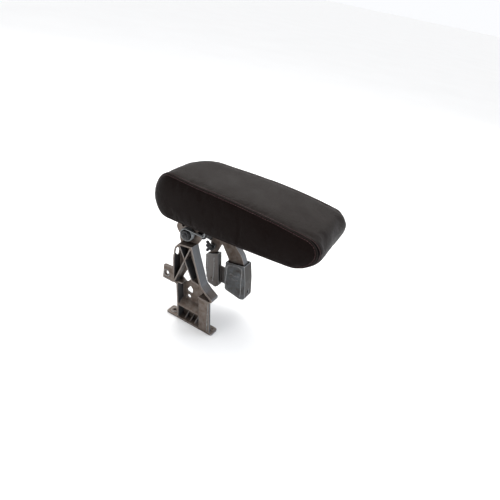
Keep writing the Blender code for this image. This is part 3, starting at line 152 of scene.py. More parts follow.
class Nodes:
    """Short way to write a material's node tree."""

    def __init__(self, name):
        self.mat = bpy.data.materials.new(name)
        self.mat.use_nodes = True
        self.tree = self.mat.node_tree
        self.shader = self.tree.nodes["Principled BSDF"]
        self.place = self.add("ShaderNodeTexCoord").outputs["Object"]

    def add(self, kind, **values):
        node = self.tree.nodes.new(kind)
        for key, value in values.items():
            setattr(node, key, value)
        return node

    def link(self, source, target):
        self.tree.links.new(source, target)

    def noise(self, scale, detail=3.0, roughness=0.55, stretch=None):
        node = self.add("ShaderNodeTexNoise")
        node.inputs["Scale"].default_value = scale
        node.inputs["Detail"].default_value = detail
        node.inputs["Roughness"].default_value = roughness
        self.link(self.stretched(stretch), node.inputs["Vector"])
        return node.outputs["Fac"]

    def stretched(self, stretch):
        if stretch is None:
            return self.place
        node = self.add("ShaderNodeMapping")
        node.inputs["Scale"].default_value = stretch
        self.link(self.place, node.inputs["Vector"])
        return node.outputs["Vector"]

    def voronoi(self, scale, feature="DISTANCE_TO_EDGE", randomness=1.0):
        node = self.add("ShaderNodeTexVoronoi", feature=feature)
        node.inputs["Scale"].default_value = scale
        node.inputs["Randomness"].default_value = randomness
        self.link(self.place, node.inputs["Vector"])
        return node.outputs["Distance"]

    def ramp(self, source, stops):
        node = self.add("ShaderNodeValToRGB")
        while len(node.color_ramp.elements) < len(stops):
            node.color_ramp.elements.new(0.5)
        for element, (position, color) in zip(node.color_ramp.elements, stops):
            element.position = position
            element.color = (*color, 1.0) if len(color) == 3 else color
        self.link(source, node.inputs["Fac"])
        return node.outputs["Color"]

    def spread(self, source, low, high, source_low=0.3, source_high=0.7):
        node = self.add("ShaderNodeMapRange")
        node.inputs["From Min"].default_value = source_low
        node.inputs["From Max"].default_value = source_high
        node.inputs["To Min"].default_value = low
        node.inputs["To Max"].default_value = high
        self.link(source, node.inputs["Value"])
        return node.outputs["Result"]

    def mix(self, factor, first, second, blend="MIX"):
        node = self.add("ShaderNodeMix", data_type="RGBA", blend_type=blend)
        pairs = ((node.inputs["Factor"], factor), (node.inputs["A"], first), (node.inputs["B"], second))
        for socket, value in pairs:
            if isinstance(value, (int, float)):
                socket.default_value = value
            elif isinstance(value, tuple):
                socket.default_value = (*value, 1.0)
            else:
                self.link(value, socket)
        return node.outputs["Result"]

    def bump(self, height, distance, strength=1.0, normal=None):
        node = self.add("ShaderNodeBump")
        node.inputs["Distance"].default_value = distance
        node.inputs["Strength"].default_value = strength
        self.link(height, node.inputs["Height"])
        if normal is not None:
            self.link(normal, node.inputs["Normal"])
        return node.outputs["Normal"]

    def edges(self, radius):
        """How sharply the surface turns here, from 0 on flats to 1 on edges."""
        bevel = self.add("ShaderNodeBevel", samples=6)
        bevel.inputs["Radius"].default_value = radius
        geometry = self.add("ShaderNodeNewGeometry")
        dot = self.add("ShaderNodeVectorMath", operation="DOT_PRODUCT")
        self.link(bevel.outputs["Normal"], dot.inputs[0])
        self.link(geometry.outputs["Normal"], dot.inputs[1])
        return self.spread(dot.outputs["Value"], 1.0, 0.0, 0.80, 0.99)

    def crests(self, low, high):
        """How far the surface stands out here, from 0 on flats to 1 on rounded edges."""
        geometry = self.add("ShaderNodeNewGeometry")
        return self.spread(geometry.outputs["Pointiness"], 0.0, 1.0, low, high)

    def facing(self, direction, low, high):
        """How far the surface faces a direction, from 0 to 1."""
        geometry = self.add("ShaderNodeNewGeometry")
        dot = self.add("ShaderNodeVectorMath", operation="DOT_PRODUCT")
        self.link(geometry.outputs["Normal"], dot.inputs[0])
        dot.inputs[1].default_value = direction
        return self.spread(dot.outputs["Value"], 0.0, 1.0, low, high)

    def flank(self):
        """How far the surface faces sideways, from 0 on the top and ends to 1 on the side panels."""
        geometry = self.add("ShaderNodeNewGeometry")
        split = self.add("ShaderNodeSeparateXYZ")
        self.link(geometry.outputs["Normal"], split.inputs["Vector"])
        size = self.add("ShaderNodeMath", operation="ABSOLUTE")
        self.link(split.outputs["Y"], size.inputs[0])
        return self.spread(size.outputs["Value"], 0.0, 1.0, 0.35, 0.85)

    def band(self, source, centre, full, none):
        """1 within a distance of the centre value, falling to 0."""
        away = self.add("ShaderNodeMath", operation="SUBTRACT")
        self.link(source, away.inputs[0])
        away.inputs[1].default_value = centre
        size = self.add("ShaderNodeMath", operation="ABSOLUTE")
        self.link(away.outputs["Value"], size.inputs[0])
        return self.spread(size.outputs["Value"], 1.0, 0.0, full, none)

    def blend_value(self, factor, first, second):
        node = self.add("ShaderNodeMix", data_type="FLOAT")
        self.link(factor, node.inputs["Factor"])
        self.link(first, node.inputs["A"])
        node.inputs["B"].default_value = second
        return node.outputs["Result"]

    def recess(self, distance):
        """How open the surface is here, from 0 in corners to 1 on open faces."""
        node = self.add("ShaderNodeAmbientOcclusion", samples=6)
        node.inputs["Distance"].default_value = distance
        return self.spread(node.outputs["AO"], 0.0, 1.0, 0.15, 0.80)

    def set(self, **values):
        for key, value in values.items():
            socket = self.shader.inputs[key.replace("_", " ")]
            if isinstance(value, (int, float)):
                socket.default_value = value
            elif isinstance(value, tuple):
                socket.default_value = (*value, 1.0)
            else:
                self.link(value, socket)
        return self.mat


def leather():
    n = Nodes("dark_grained_leather")
    creases = n.spread(n.voronoi(620.0), 0.0, 1.0, 0.0, 0.18)
    fine = n.noise(2600.0, 2.0)
    patches = n.noise(22.0, 4.0)
    mottle = n.noise(240.0, 3.0, 0.6)
    flank = n.flank()
    seam = n.add("ShaderNodeAttribute", attribute_name="seam").outputs["Fac"]
    seam_groove_shade = n.band(seam, 0.0, 0.7, 1.3)
    seam_ridge_highlight = n.band(seam, RIDGE_PLACE + 0.3, 0.3, 1.1)
    tint = n.ramp(patches, [(0.25, (0.0068, 0.0040, 0.0033)), (0.75, (0.0090, 0.0056, 0.0047))])
    # Painted shade: the side panels are painted darker and redder than the top and ends, by which way they
    # face.
    tint = n.mix(flank, tint, (0.0050, 0.0022, 0.0019))
    tint = n.mix(n.spread(mottle, 0.0, 0.35), tint, (0.0038, 0.0022, 0.0018))
    color = n.mix(n.spread(creases, 0.45, 0.0, 0.0, 1.0), tint, (0.0016, 0.0011, 0.0010))
    # Painted highlight: the ridge beside each seam is painted lighter.
    color = n.mix(seam_ridge_highlight, color, (0.0130, 0.0098, 0.0088))
    # Painted shade: the seam groove is painted near black, and its specular level is turned down below.
    color = n.mix(seam_groove_shade, color, (0.0006, 0.0004, 0.0004))
    grain = n.bump(creases, 0.00030, 0.8)
    pores = n.bump(fine, 0.00007, 0.45, grain)
    soft = n.bump(n.noise(95.0, 3.0), 0.0006, 0.30, pores)
    shine = n.spread(flank, 0.10, 0.055, 0.0, 1.0)
    shine = n.blend_value(seam_groove_shade, shine, 0.004)
    return n.set(Base_Color=color, Roughness=n.spread(patches, 0.46, 0.58), Normal=soft,
                 Specular_IOR_Level=shine, Specular_Tint=(1.0, 0.93, 0.89))


def thread():
    n = Nodes("maroon_thread")
    twist = n.noise(1500.0, 1.0, stretch=(1.0, 0.4, 1.0))
    color = n.ramp(twist, [(0.3, (0.034, 0.0060, 0.0070)), (0.7, (0.066, 0.012, 0.014))])
    return n.set(Base_Color=color, Roughness=0.62, Normal=n.bump(twist, 0.0002, 0.6), Sheen_Weight=0.2)


def cast_alloy():
    n = Nodes("cast_alloy")
    blotches = n.noise(95.0, 6.0, 0.68)
    skin = n.noise(900.0, 3.0)
    base = n.ramp(blotches, [(0.32, (0.076, 0.053, 0.041)), (0.50, (0.128, 0.101, 0.084)),
                             (0.72, (0.168, 0.149, 0.134))])
    # Painted shade and painted reflection: faces turned to the front and up are painted a darker bluish
    # grey.
    front_facing_shade = n.mix(n.facing((0.92, 0.0, 0.39), 0.70, 0.95), base, (0.066, 0.067, 0.070))
    # Painted shade: corners and recesses are painted darker by ambient occlusion.
    recess_shaded = n.mix(n.recess(0.012), (0.026, 0.020, 0.017), front_facing_shade)
    # Painted highlight and wear: rounded edges and crests are painted lighter.
    edge_highlight_and_wear = n.mix(n.crests(0.515, 0.575), recess_shaded, (0.330, 0.312, 0.300))
    flow = n.noise(60.0, 3.0, 0.6, (1.0, 1.0, 0.25))
    normal = n.bump(skin, 0.00012, 0.45)
    return n.set(Base_Color=edge_highlight_and_wear, Metallic=0.6, Roughness=n.spread(flow, 0.40, 0.56),
                 Normal=n.bump(flow, 0.0006, 0.35, normal))


# Painted highlight and wear: the beads are coloured lighter than the metal round them.
def highlit_rubbed_metal():
    n = Nodes("highlit_rubbed_metal")
    clouds = n.noise(180.0, 4.0)
    base = n.ramp(clouds, [(0.35, (0.15, 0.145, 0.14)), (0.65, (0.29, 0.295, 0.30))])
    return n.set(Base_Color=base, Metallic=0.6, Roughness=0.38, Normal=n.bump(clouds, 0.0002, 0.4))


def plated_steel():
    n = Nodes("plated_steel")
    clouds = n.noise(70.0, 5.0, 0.65)
    base = n.ramp(clouds, [(0.32, (0.110, 0.102, 0.096)), (0.50, (0.160, 0.168, 0.174)),
                           (0.70, (0.190, 0.212, 0.228))])
    split = n.add("ShaderNodeSeparateXYZ")
    n.link(n.place, split.inputs["Vector"])
    front = n.spread(split.outputs["X"], 0.0, 1.0, *SHOE_GAP_X)
    base = n.mix(front, n.mix(0.75, base, (0.118, 0.103, 0.094)), base)
    # Painted shade: faces turned to the front (+x), such as the front shoe's end wall, are painted dark
    # brown, with metallic and specular level turned down.
    end_wall_shade = n.facing((1.0, 0.0, 0.0), 0.55, 0.90)
    end_wall_shaded = n.mix(end_wall_shade, base, (0.024, 0.021, 0.019))
    # Painted shade: corners and recesses are painted darker by ambient occlusion.
    recess_shaded = n.mix(n.recess(0.012), (0.035, 0.030, 0.027), end_wall_shaded)
    # Painted highlight and wear: rounded edges and crests are painted lighter.
    edge_highlight_and_wear = n.mix(n.crests(0.515, 0.575), recess_shaded, (0.40, 0.415, 0.425))
    drawn = n.noise(120.0, 3.0, 0.6, (1.0, 1.0, 0.12))
    return n.set(Base_Color=edge_highlight_and_wear, Metallic=n.spread(end_wall_shade, 0.6, 0.05, 0.0, 1.0),
                 Normal=n.bump(drawn, 0.0005, 0.3), Roughness=n.spread(clouds, 0.26, 0.42),
                 Specular_IOR_Level=n.spread(end_wall_shade, 0.5, 0.1, 0.0, 1.0))


def dark_steel():
    n = Nodes("oiled_spring_steel")
    clouds = n.noise(220.0, 3.0)
    base = n.ramp(clouds, [(0.3, (0.016, 0.016, 0.017)), (0.7, (0.034, 0.035, 0.037))])
    # Painted highlight and wear: sharp edges are painted lighter.
    edge_highlight_and_wear = n.mix(n.edges(0.0007), base, (0.26, 0.27, 0.28))
    return n.set(Base_Color=edge_highlight_and_wear, Metallic=0.8, Roughness=n.spread(clouds, 0.28, 0.42),
                 Normal=n.bump(clouds, 0.0001, 0.3))


def black_steel():
    n = Nodes("black_steel")
    coat = n.noise(1100.0, 2.0)
    clouds = n.noise(45.0, 3.0)
    base = n.ramp(clouds, [(0.3, (0.010, 0.010, 0.011)), (0.7, (0.019, 0.019, 0.020))])
    # Painted highlight and wear: sharp edges are painted lighter.
    edge_highlight_and_wear = n.mix(n.edges(0.0006), base, (0.075, 0.075, 0.078))
    return n.set(Base_Color=edge_highlight_and_wear, Metallic=0.35, Roughness=n.spread(clouds, 0.36, 0.48),
                 Normal=n.bump(coat, 0.00008, 0.4))


def bright_steel():
    n = Nodes("zinc_plated_wire_steel")
    clouds = n.noise(160.0, 3.0)
    base = n.ramp(clouds, [(0.3, (0.110, 0.116, 0.120)), (0.7, (0.200, 0.210, 0.216))])
    # Painted highlight and wear: sharp edges are painted lighter.
    edge_highlight_and_wear = n.mix(n.edges(0.0004), base, (0.36, 0.37, 0.37))
    lines = n.noise(700.0, 2.0, 0.5, (1.0, 0.1, 1.0))
    return n.set(Base_Color=edge_highlight_and_wear, Metallic=0.8, Roughness=n.spread(clouds, 0.30, 0.45),
                 Normal=n.bump(lines, 0.00008, 0.3))


def black_plastic():
    n = Nodes("moulded_black_plastic")
    grain = n.voronoi(1300.0, "F1")
    clouds = n.noise(60.0, 3.0)
    color = n.ramp(clouds, [(0.3, (0.014, 0.014, 0.015)), (0.7, (0.021, 0.021, 0.022))])
    return n.set(Base_Color=color, Roughness=n.spread(clouds, 0.50, 0.62),
                 Normal=n.bump(grain, 0.0001, 0.4))


def bushing_plastic():
    n = Nodes("natural_bushing_plastic")
    clouds = n.noise(90.0, 3.0)
    color = n.ramp(clouds, [(0.3, (0.27, 0.26, 0.23)), (0.7, (0.33, 0.32, 0.29))])
    return n.set(Base_Color=color, Roughness=0.5, Subsurface_Weight=0.05,
                 Normal=n.bump(clouds, 0.0001, 0.3))


MATERIALS = {"pad_leather": leather(), "cast_alloy": cast_alloy(), "plated_steel": plated_steel(),
             "black_steel": black_steel(), "bright_steel": bright_steel(), "black_plastic": black_plastic(),
             "bushing_plastic": bushing_plastic()}
THREAD = thread()
HIGHLIT_RUBBED_METAL = highlit_rubbed_metal()
DARK_STEEL_NODES = ("hinge_axle", "axle_clip", "pawl_pin", "stop_pin", "spacer_sleeve",
                    "ratchet_pawl")
DARK_STEEL = dark_steel()


# Shapes

def add_mesh(name, verts, faces, mat, smooth=True):
    """Mesh object from points in millimetres."""
    mesh = bpy.data.meshes.new(name)
    mesh.from_pydata([tuple(v) for v in np.asarray(verts) * MM], [], faces)
    mesh.update()
    obj = bpy.data.objects.new(name, mesh)
    bpy.context.scene.collection.objects.link(obj)
    obj.data.materials.append(mat)
    if smooth:
        mesh.shade_smooth()
    return obj


def smoothstep(value, low, high):
    t = np.clip((value - low) / (high - low), 0.0, 1.0)
    return t * t * (3.0 - 2.0 * t)


HALF_LENGTH = 0.5 * (COVER_FRONT_X - COVER_REAR_X)
MIDDLE_X = 0.5 * (COVER_FRONT_X + COVER_REAR_X)


def underside_height(x):
    """Height of the pad's underside."""
    return PAD_TOP_Z - PAD_THICKNESS * (1.0 - THICKNESS_TAPER * (x - MIDDLE_X) / HALF_LENGTH)


def loop(inset):
    """Side outline of the pad at a distance in from its edge; every inset gives as many points."""
    half, thick = HALF_LENGTH, PAD_THICKNESS
    rear_top, rear_low = REAR_RADII
    front_top, front_low = FRONT_RADII
    corners = ((-half + rear_top, thick - rear_top, rear_top, 180.0),
               (half - front_top, thick - front_top, front_top, 90.0),
               (half - front_low, front_low, front_low, 0.0),
               (-half + rear_low, rear_low, rear_low, -90.0))
    points = []
    for index, (x, z, radius, start) in enumerate(corners):
        steps = ARC_STEPS[index]
        skip_first = index == 2
        for k in range(int(skip_first), steps + 1):
            angle = math.radians(start - 90.0 * k / steps)
            points.append((x + (radius - inset) * math.cos(angle), z + (radius - inset) * math.sin(angle)))
        if index in (0, 2):
            after_x, after_z, after_radius, after_start = corners[index + 1]
            angle = math.radians(after_start)
            end = (after_x + (after_radius - inset) * math.cos(angle),
                   after_z + (after_radius - inset) * math.sin(angle))
            last = points[-1]
            for k in range(1, LONG_STEPS):
                share = k / LONG_STEPS
                points.append((last[0] + (end[0] - last[0]) * share, last[1] + (end[1] - last[1]) * share))
    return np.array(points[:-1])


def plan_pull(x, y):
    """How far the pad's ends draw back where the plan's corners are rounded."""
    ends = np.where(x < 0.0, np.where(y > 0.0, PLAN_RADIUS["rear_far"], PLAN_RADIUS["rear_near"]),
                    np.where(y > 0.0, PLAN_RADIUS["front_far"], PLAN_RADIUS["front_near"]))
    over = np.clip(np.abs(y) - (HALF_WIDTH + PLAN_MARGIN - ends), 0.0, ends)
    return ends - np.sqrt(np.maximum(ends ** 2 - over ** 2, 0.0))


def shape_pad(points):
    """Arch, tapers, rounded plan, bowed sides and a leaning front end, put on the straight pad."""
    x, y, z = points.T
    along = x / HALF_LENGTH
    height = z / PAD_THICKNESS
    pull = plan_pull(x, y) * smoothstep(np.abs(along), 0.45, 1.0)
    crown = CROWN * (1.0 - np.minimum(y / HALF_WIDTH, 1.0) ** 2)
    rise = ARCH * (1.0 - along ** 2) + crown + REAR_RISE * smoothstep(-along, 0.35, 1.0)
    depth = (PAD_THICKNESS - z) * (1.0 - THICKNESS_TAPER * along)
    bow = np.where(y > 0.0, SIDE_BOW["far"], SIDE_BOW["near"])
    spread = 1.0 + WIDTH_TAPER * along + bow / HALF_WIDTH * (1.0 - along ** 2)
    share = np.clip(0.5 + 0.5 * y / HALF_WIDTH, 0.0, 1.0)
    lean = FRONT_LEAN["near"] + (FRONT_LEAN["far"] - FRONT_LEAN["near"]) * share
    shift = np.where(x > 0.0, lean * (height - 1.0) * smoothstep(along, 0.6, 1.0), 0.0)
    placed_x = MIDDLE_X + x - np.sign(x) * pull + shift
    return np.stack([placed_x, y * spread, PAD_TOP_Z - depth + rise * height], axis=1)


def side_place(inset, wrap):
    """y of the side panel at a distance in from its edge; wrap is 1 where it runs round the rear corner."""
    seam_inset = SEAM_INSET + (REAR_SEAM_INSET - SEAM_INSET) * wrap
    shoulder = SIDE_SHOULDER + (REAR_SHOULDER - SIDE_SHOULDER) * wrap
    rise = seam_inset * np.sin(0.5 * math.pi * np.minimum(inset / shoulder, 1.0))
    return HALF_WIDTH - seam_inset + rise + SIDE_BULGE * smoothstep(inset, 5.0, 0.5 * PAD_THICKNESS)


def corner_wrap(x, side):
    """How far the near side panel has turned round the rear corner, from 0 to 1."""
    return smoothstep(-x / HALF_LENGTH, WRAP_START, WRAP_END) * (side < 0.0)


def pad_stations():
    """Rows of the cover across the pad as (side, inset, distance from the seam); negative is on the top."""
    near_seam = [0.0, 0.4, 0.8, 1.2, 1.7, 2.2, 2.6, 3.1, 3.6, 4.2, 4.8, 5.6, 7.0, 9.0]
    seam_y = HALF_WIDTH - SEAM_INSET
    top = near_seam + list(np.linspace(11.5, seam_y, 21))
    side = near_seam[1:] + [12.5, 16.0, SIDE_LIMIT]
    half = []
    for t in reversed(side):
        half.append((t - 0.45 * min(t, SIDE_SHOULDER) * (1.0 - min(t / SIDE_SHOULDER, 1.0)), t))
    half += [(0.0, -t) for t in top]
    return [(-1.0, inset, t) for inset, t in half] + [(1.0, inset, t) for inset, t in reversed(half[:-1])]


def row_places(ring, side, inset, t):
    """y of one row's points round the pad."""
    wrap = corner_wrap(ring[:, 0], side)
    if t > 0.0:
        return side * side_place(inset, wrap)
    edge = side_place(0.0, wrap)
    seam_y = HALF_WIDTH - SEAM_INSET
    return side * edge * (seam_y + t) / seam_y


def cap(points, faces, ring, first, side, seam):
    """Closes one side of the cover with a grid between the upper and lower half of its last ring."""
    count = len(ring)
    half = count // 2
    grid = []
    for k in range(1, half):
        top, low = ring[k], ring[count - k]
        column = [first + k]
        for m in range(1, CAP_STEPS):
            share = m / CAP_STEPS
            x, z = top + (low - top) * share
            inset = SIDE_LIMIT + (0.5 - abs(share - 0.5)) * abs(top[1] - low[1])
            column.append(len(points))
            points.append((x, side * side_place(inset, corner_wrap(x, side)), z))
            seam.append(inset)
        column.append(first + count - k)
        grid.append(column)
    for a, b in zip(grid, grid[1:]):
        for m in range(CAP_STEPS):
            faces.append((a[m], a[m + 1], b[m + 1], b[m]))
    for column, tip in ((grid[0], first), (grid[-1], first + half)):
        for m in range(CAP_STEPS):
            faces.append((column[m], column[m + 1], tip))


def build_pad():
    """Cover as one closed surface whose rows run round the pad along the seams."""
    stations = pad_stations()
    rings = [loop(inset) for _, inset, _ in stations]
    count = len(rings[0])
    points = []
    for ring, (side, inset, t) in zip(rings, stations):
        points += [(x, y, z) for (x, z), y in zip(ring, row_places(ring, side, inset, t))]
    seam = [t for _, _, t in stations for _ in range(count)]
    faces = []
    for r in range(len(stations) - 1):
        for k in range(count):
            j = (k + 1) % count
            faces.append((r * count + k, (r + 1) * count + k, (r + 1) * count + j, r * count + j))
    cap(points, faces, rings[0], 0, -1.0, seam)
    cap(points, faces, rings[-1], (len(rings) - 1) * count, 1.0, seam)
    pad = add_mesh("leather_pad", shape_pad(np.array(points)), faces, MATERIALS["pad_leather"])
    bm = bmesh.new()
    bm.from_mesh(pad.data)
    bmesh.ops.recalc_face_normals(bm, faces=bm.faces)
    bm.to_mesh(pad.data)
    bm.free()
    return pad, stations, count, np.array(seam)


def seam_relief(t):
    """Height of the cover across a seam: groove, ridges beside it and dips under the stitches."""
    height = -GROOVE_DEPTH * np.exp(-(t / GROOVE_WIDTH) ** 2)
    height += RIDGE_HEIGHT * np.exp(-((t - RIDGE_PLACE) / RIDGE_WIDTH) ** 2)
    height -= TOP_EDGE_DIP * np.exp(-(np.minimum(t, 0.0) / TOP_EDGE_RUN) ** 2) * (t <= 0.0)
    for place in (-TOP_STITCH_PLACE, SIDE_STITCH_PLACE):
        height -= STITCH_DIP * np.exp(-((t - place) / STITCH_DIP_WIDTH) ** 2)
    return height


def cloth_copy(pad, seam):
    """Coarse copy of the cover for the simulation, held along the seams and under the pad."""
    coarse = bpy.data.objects.new("cloth_copy", pad.data.copy())
    bpy.context.scene.collection.objects.link(coarse)
    remesh = coarse.modifiers.new("remesh", "REMESH")
    remesh.mode = "VOXEL"
    remesh.voxel_size = CLOTH_VOXEL * MM
    depsgraph = bpy.context.evaluated_depsgraph_get()
    coarse.data = bpy.data.meshes.new_from_object(coarse.evaluated_get(depsgraph))
    coarse.modifiers.clear()
    on_seam = np.flatnonzero(np.abs(seam) < 0.1)
    tree = KDTree(len(on_seam))
    for index in on_seam:
        tree.insert(pad.data.vertices[index].co, int(index))
    tree.balance()
    held = [v.index for v in coarse.data.vertices
            if tree.find(v.co)[2] < CLOTH_HELD_BY_SEAM * MM
            or (v.normal.z < -0.5 and v.co.z / MM < underside_height(v.co.x / MM) + 6.0)]
    coarse.vertex_groups.new(name="held").add(held, 1.0, "REPLACE")
    return coarse


def stuff(pad, seam):
    """Blow the cover out over its stuffing with a cloth simulation, by a small capped amount."""
    coarse = cloth_copy(pad, seam)
    rest = np.array([v.co for v in coarse.data.vertices])
    cloth = coarse.modifiers.new("cloth", "CLOTH")
    settings = cloth.settings
    for name, value in CLOTH_FABRIC.items():
        setattr(settings, name, value)
    settings.shrink_min = -CLOTH_SLACK
    settings.use_pressure = True
    settings.uniform_pressure_force = CLOTH_PRESSURE
    settings.vertex_group_mass = "held"
    settings.effector_weights.gravity = 0.0
    cloth.point_cache.frame_start = 1
    cloth.point_cache.frame_end = CLOTH_FRAMES
    scene = bpy.context.scene
    for step in range(1, CLOTH_FRAMES + 1):
        scene.frame_set(step)
    evaluated = coarse.evaluated_get(bpy.context.evaluated_depsgraph_get())
    moved = np.array([v.co for v in evaluated.data.vertices]) - rest
    bpy.data.objects.remove(coarse)
    scene.frame_set(1)
    moved = np.nan_to_num(moved)
    length = np.linalg.norm(moved, axis=1)
    limit = CLOTH_MOST * MM
    moved *= (limit * np.tanh(length / limit) / np.maximum(length, 1e-9))[:, None]
    tree = KDTree(len(rest))
    for index, place in enumerate(rest):
        tree.insert(place, index)
    tree.balance()
    for vertex in pad.data.vertices:
        found = tree.find_n(vertex.co, CLOTH_NEIGHBOURS)
        weights = np.array([1.0 / (distance + 0.5 * MM) ** 2 for _, _, distance in found])
        shift = weights @ moved[[index for _, index, _ in found]] / weights.sum()
        vertex.co += Vector(shift)
    pad.data.update()


def relieve(pad, seam):
    """Sink the seams and let the cover in round the carrier."""
    mesh = pad.data
    count = len(mesh.vertices)
    co = np.zeros(count * 3)
    mesh.vertices.foreach_get("co", co)
    co = co.reshape(-1, 3) / MM
    normals = np.array([v.normal for v in mesh.vertices])
    co += normals * seam_relief(seam)[:, None]
    low, high = (np.array(corner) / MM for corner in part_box("pad_carrier"))
    middle = 0.5 * (low + high)
    reach = 0.5 * (high - low)
    outside = np.maximum(np.abs(co[:, 0] - middle[0]) - (reach[0] - CARRIER_CORNER), 0.0)
    beside = np.maximum(np.abs(co[:, 1] - middle[1]) - (reach[1] - CARRIER_CORNER), 0.0)
    distance = np.hypot(outside, beside) - CARRIER_CORNER
    below = (normals[:, 2] < -0.7) & (co[:, 2] < underside_height(co[:, 0]) + 4.0)
    co[:, 2] += np.where(below, CARRIER_LET_IN * (1.0 - smoothstep(distance, -1.0, 1.6)), 0.0)
    mesh.vertices.foreach_set("co", (co * MM).ravel())
    mesh.attributes.new("seam", "FLOAT", "POINT").data.foreach_set("value", seam)
    mesh.update()


def stitch_mesh(verts, faces, start, end, normal, radius):
    """One thread length between two points, as a capsule that dips in at both ends."""
    along = (end - start) / np.linalg.norm(end - start)
    side = np.cross(along, normal)
    side /= np.linalg.norm(side)
    up = np.cross(side, along)
    first = len(verts)
    sides = 6
    for share, lift, size in STITCH_PROFILE:
        centre = start + (end - start) * share + up * lift * radius
        for k in range(sides):
            angle = TAU * k / sides
            verts.append(centre + (side * math.cos(angle) + up * math.sin(angle)) * radius * size)
    for ring in range(len(STITCH_PROFILE) - 1):
        for k in range(sides):
            j = (k + 1) % sides
            a = first + ring * sides
            faces.append((a + k, a + sides + k, a + sides + j, a + j))
    faces.append(tuple(first + k for k in range(sides)))
    last = first + (len(STITCH_PROFILE) - 1) * sides
    faces.append(tuple(last + k for k in reversed(range(sides))))


def build_stitching(pad, stations, count):
    """Rows of stitches beside both seams, over the top and round both ends."""
    mesh = pad.data
    co = np.array([v.co for v in mesh.vertices]) / MM
    normals = np.array([v.normal for v in mesh.vertices])
    verts, faces = [], []
    for r, (_, _, t) in enumerate(stations):
        if min(abs(t + TOP_STITCH_PLACE), abs(t - SIDE_STITCH_PLACE)) > 0.01:
            continue
        row = np.arange(r * count, (r + 1) * count)
        line = co[row]
        keep = line[:, 2] > underside_height(line[:, 0]) + 4.0
        start = int(np.argmin(np.where(line[:, 0] < 0.0, line[:, 2], 1e9)))
        order = [(start + k) % count for k in range(count)]
        order = [k for k in order if keep[k]]
        line, upward = line[order], normals[row][order]
        steps = np.linalg.norm(np.diff(line, axis=0), axis=1)
        arc = np.concatenate([[0.0], np.cumsum(steps)])
        for begin in np.arange(1.0, arc[-1] - STITCH_LENGTH - 1.0, STITCH_PITCH):
            ends = [np.array([np.interp(s, arc, line[:, axis]) for axis in range(3)])
                    for s in (begin, begin + STITCH_LENGTH)]
            middle = begin + 0.5 * STITCH_LENGTH
            normal = np.array([np.interp(middle, arc, upward[:, axis]) for axis in range(3)])
            normal /= np.linalg.norm(normal)
            lift = normal * 0.55 * STITCH_RADIUS
            stitch_mesh(verts, faces, ends[0] + lift, ends[1] + lift, normal, STITCH_RADIUS)
    return add_mesh("seam_stitching", verts, faces, THREAD)


pad, stations, ring_count, pad_seam = build_pad()
stuff(pad, pad_seam)
relieve(pad, pad_seam)
stitching = build_stitching(pad, stations, ring_count)
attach(pad, "armrest")
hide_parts("pad_cushion")
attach(stitching, "armrest")


# Rigid pieces

SOFT_EDGED = {"near_side_frame": 0.75, "far_side_frame": 0.75, "far_base_bracket": 0.6}


def soften(node, voxel):
    """Casting or pressing with its edges and inner corners rounded, in the node's place."""
    source = frame["nodes"][node]
    piece = bpy.data.objects.new(node + "_body", source.data.copy())
    bpy.context.scene.collection.objects.link(piece)
    remesh = piece.modifiers.new("remesh", "REMESH")
    remesh.mode = "VOXEL"
    remesh.voxel_size = voxel * MM
    smooth = piece.modifiers.new("smooth", "SMOOTH")
    smooth.factor = 0.5
    smooth.iterations = 5
    thin = piece.modifiers.new("thin", "DECIMATE")
    thin.ratio = 0.3
    depsgraph = bpy.context.evaluated_depsgraph_get()
    piece.data = bpy.data.meshes.new_from_object(piece.evaluated_get(depsgraph))
    piece.modifiers.clear()
    piece.data.shade_smooth()
    return piece


for part in frame["record"]["subparts"]:
    obj = frame["nodes"][part["node"]]
    obj.data.materials.clear()
    dark = part["node"] in DARK_STEEL_NODES
    obj.data.materials.append(DARK_STEEL if dark else MATERIALS[part["material_slot"]])

for node, voxel in SOFT_EDGED.items():
    slot = next(p["material_slot"] for p in frame["record"]["subparts"] if p["node"] == node)
    piece = soften(node, voxel)
    piece.data.materials.clear()
    piece.data.materials.append(MATERIALS[slot])
    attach(piece, "bracket")
    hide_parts(node)


# Raised beads on the base bracket and the near side frame

def bead(verts, faces, path, out, radius, closed=False, sides=8):
    """Half-sunk round bead along a path on a face whose outward direction is out."""
    path = np.array(path, dtype=float)
    out = np.array(out, dtype=float)
    count = len(path)
    first = len(verts)
    for k in range(count):
        before = path[k - 1] if closed or k else path[k]
        after = path[(k + 1) % count] if closed or k < count - 1 else path[k]
        along = (after - before) / np.linalg.norm(after - before)
        across = np.cross(along, out)
        size = radius if closed or 0 < k < count - 1 else 0.35 * radius
        for side in range(sides):
            angle = TAU * side / sides
            verts.append(path[k] + (across * math.cos(angle) + out * 0.8 * math.sin(angle)) * size)
    for k in range(count if closed else count - 1):
        a = first + k * sides
        b = first + (k + 1) % count * sides
        for side in range(sides):
            j = (side + 1) % sides
            faces.append((a + side, a + j, b + j, b + side))


def smooth_path(corners, closed, steps=6):
    """Points of a smooth curve through the corners."""
    corners = [np.array(c, dtype=float) for c in corners]
    count = len(corners)
    points = []
    for k in range(count if closed else count - 1):
        picks = [k - 1, k, k + 1, k + 2]
        if closed:
            a, b, c, d = (corners[i % count] for i in picks)
        else:
            a, b, c, d = (corners[min(max(i, 0), count - 1)] for i in picks)
        for step in range(steps):
            t = step / steps
            points.append(0.5 * (2.0 * b + (c - a) * t + (2.0 * a - 5.0 * b + 4.0 * c - d) * t ** 2
                                 + (3.0 * b - a - 3.0 * c + d) * t ** 3))
    if not closed:
        points.append(corners[-1])
    return points


def upright(path, y):
    """Points of an (x, z) path on the plane at y."""
    return [(x, y, z) for x, z in path]


def ring(centre, radius, count=24):
    """Points of a circle about a centre."""
    return [(centre[0] + radius * math.cos(TAU * k / count), centre[1] + radius * math.sin(TAU * k / count))
            for k in range(count)]


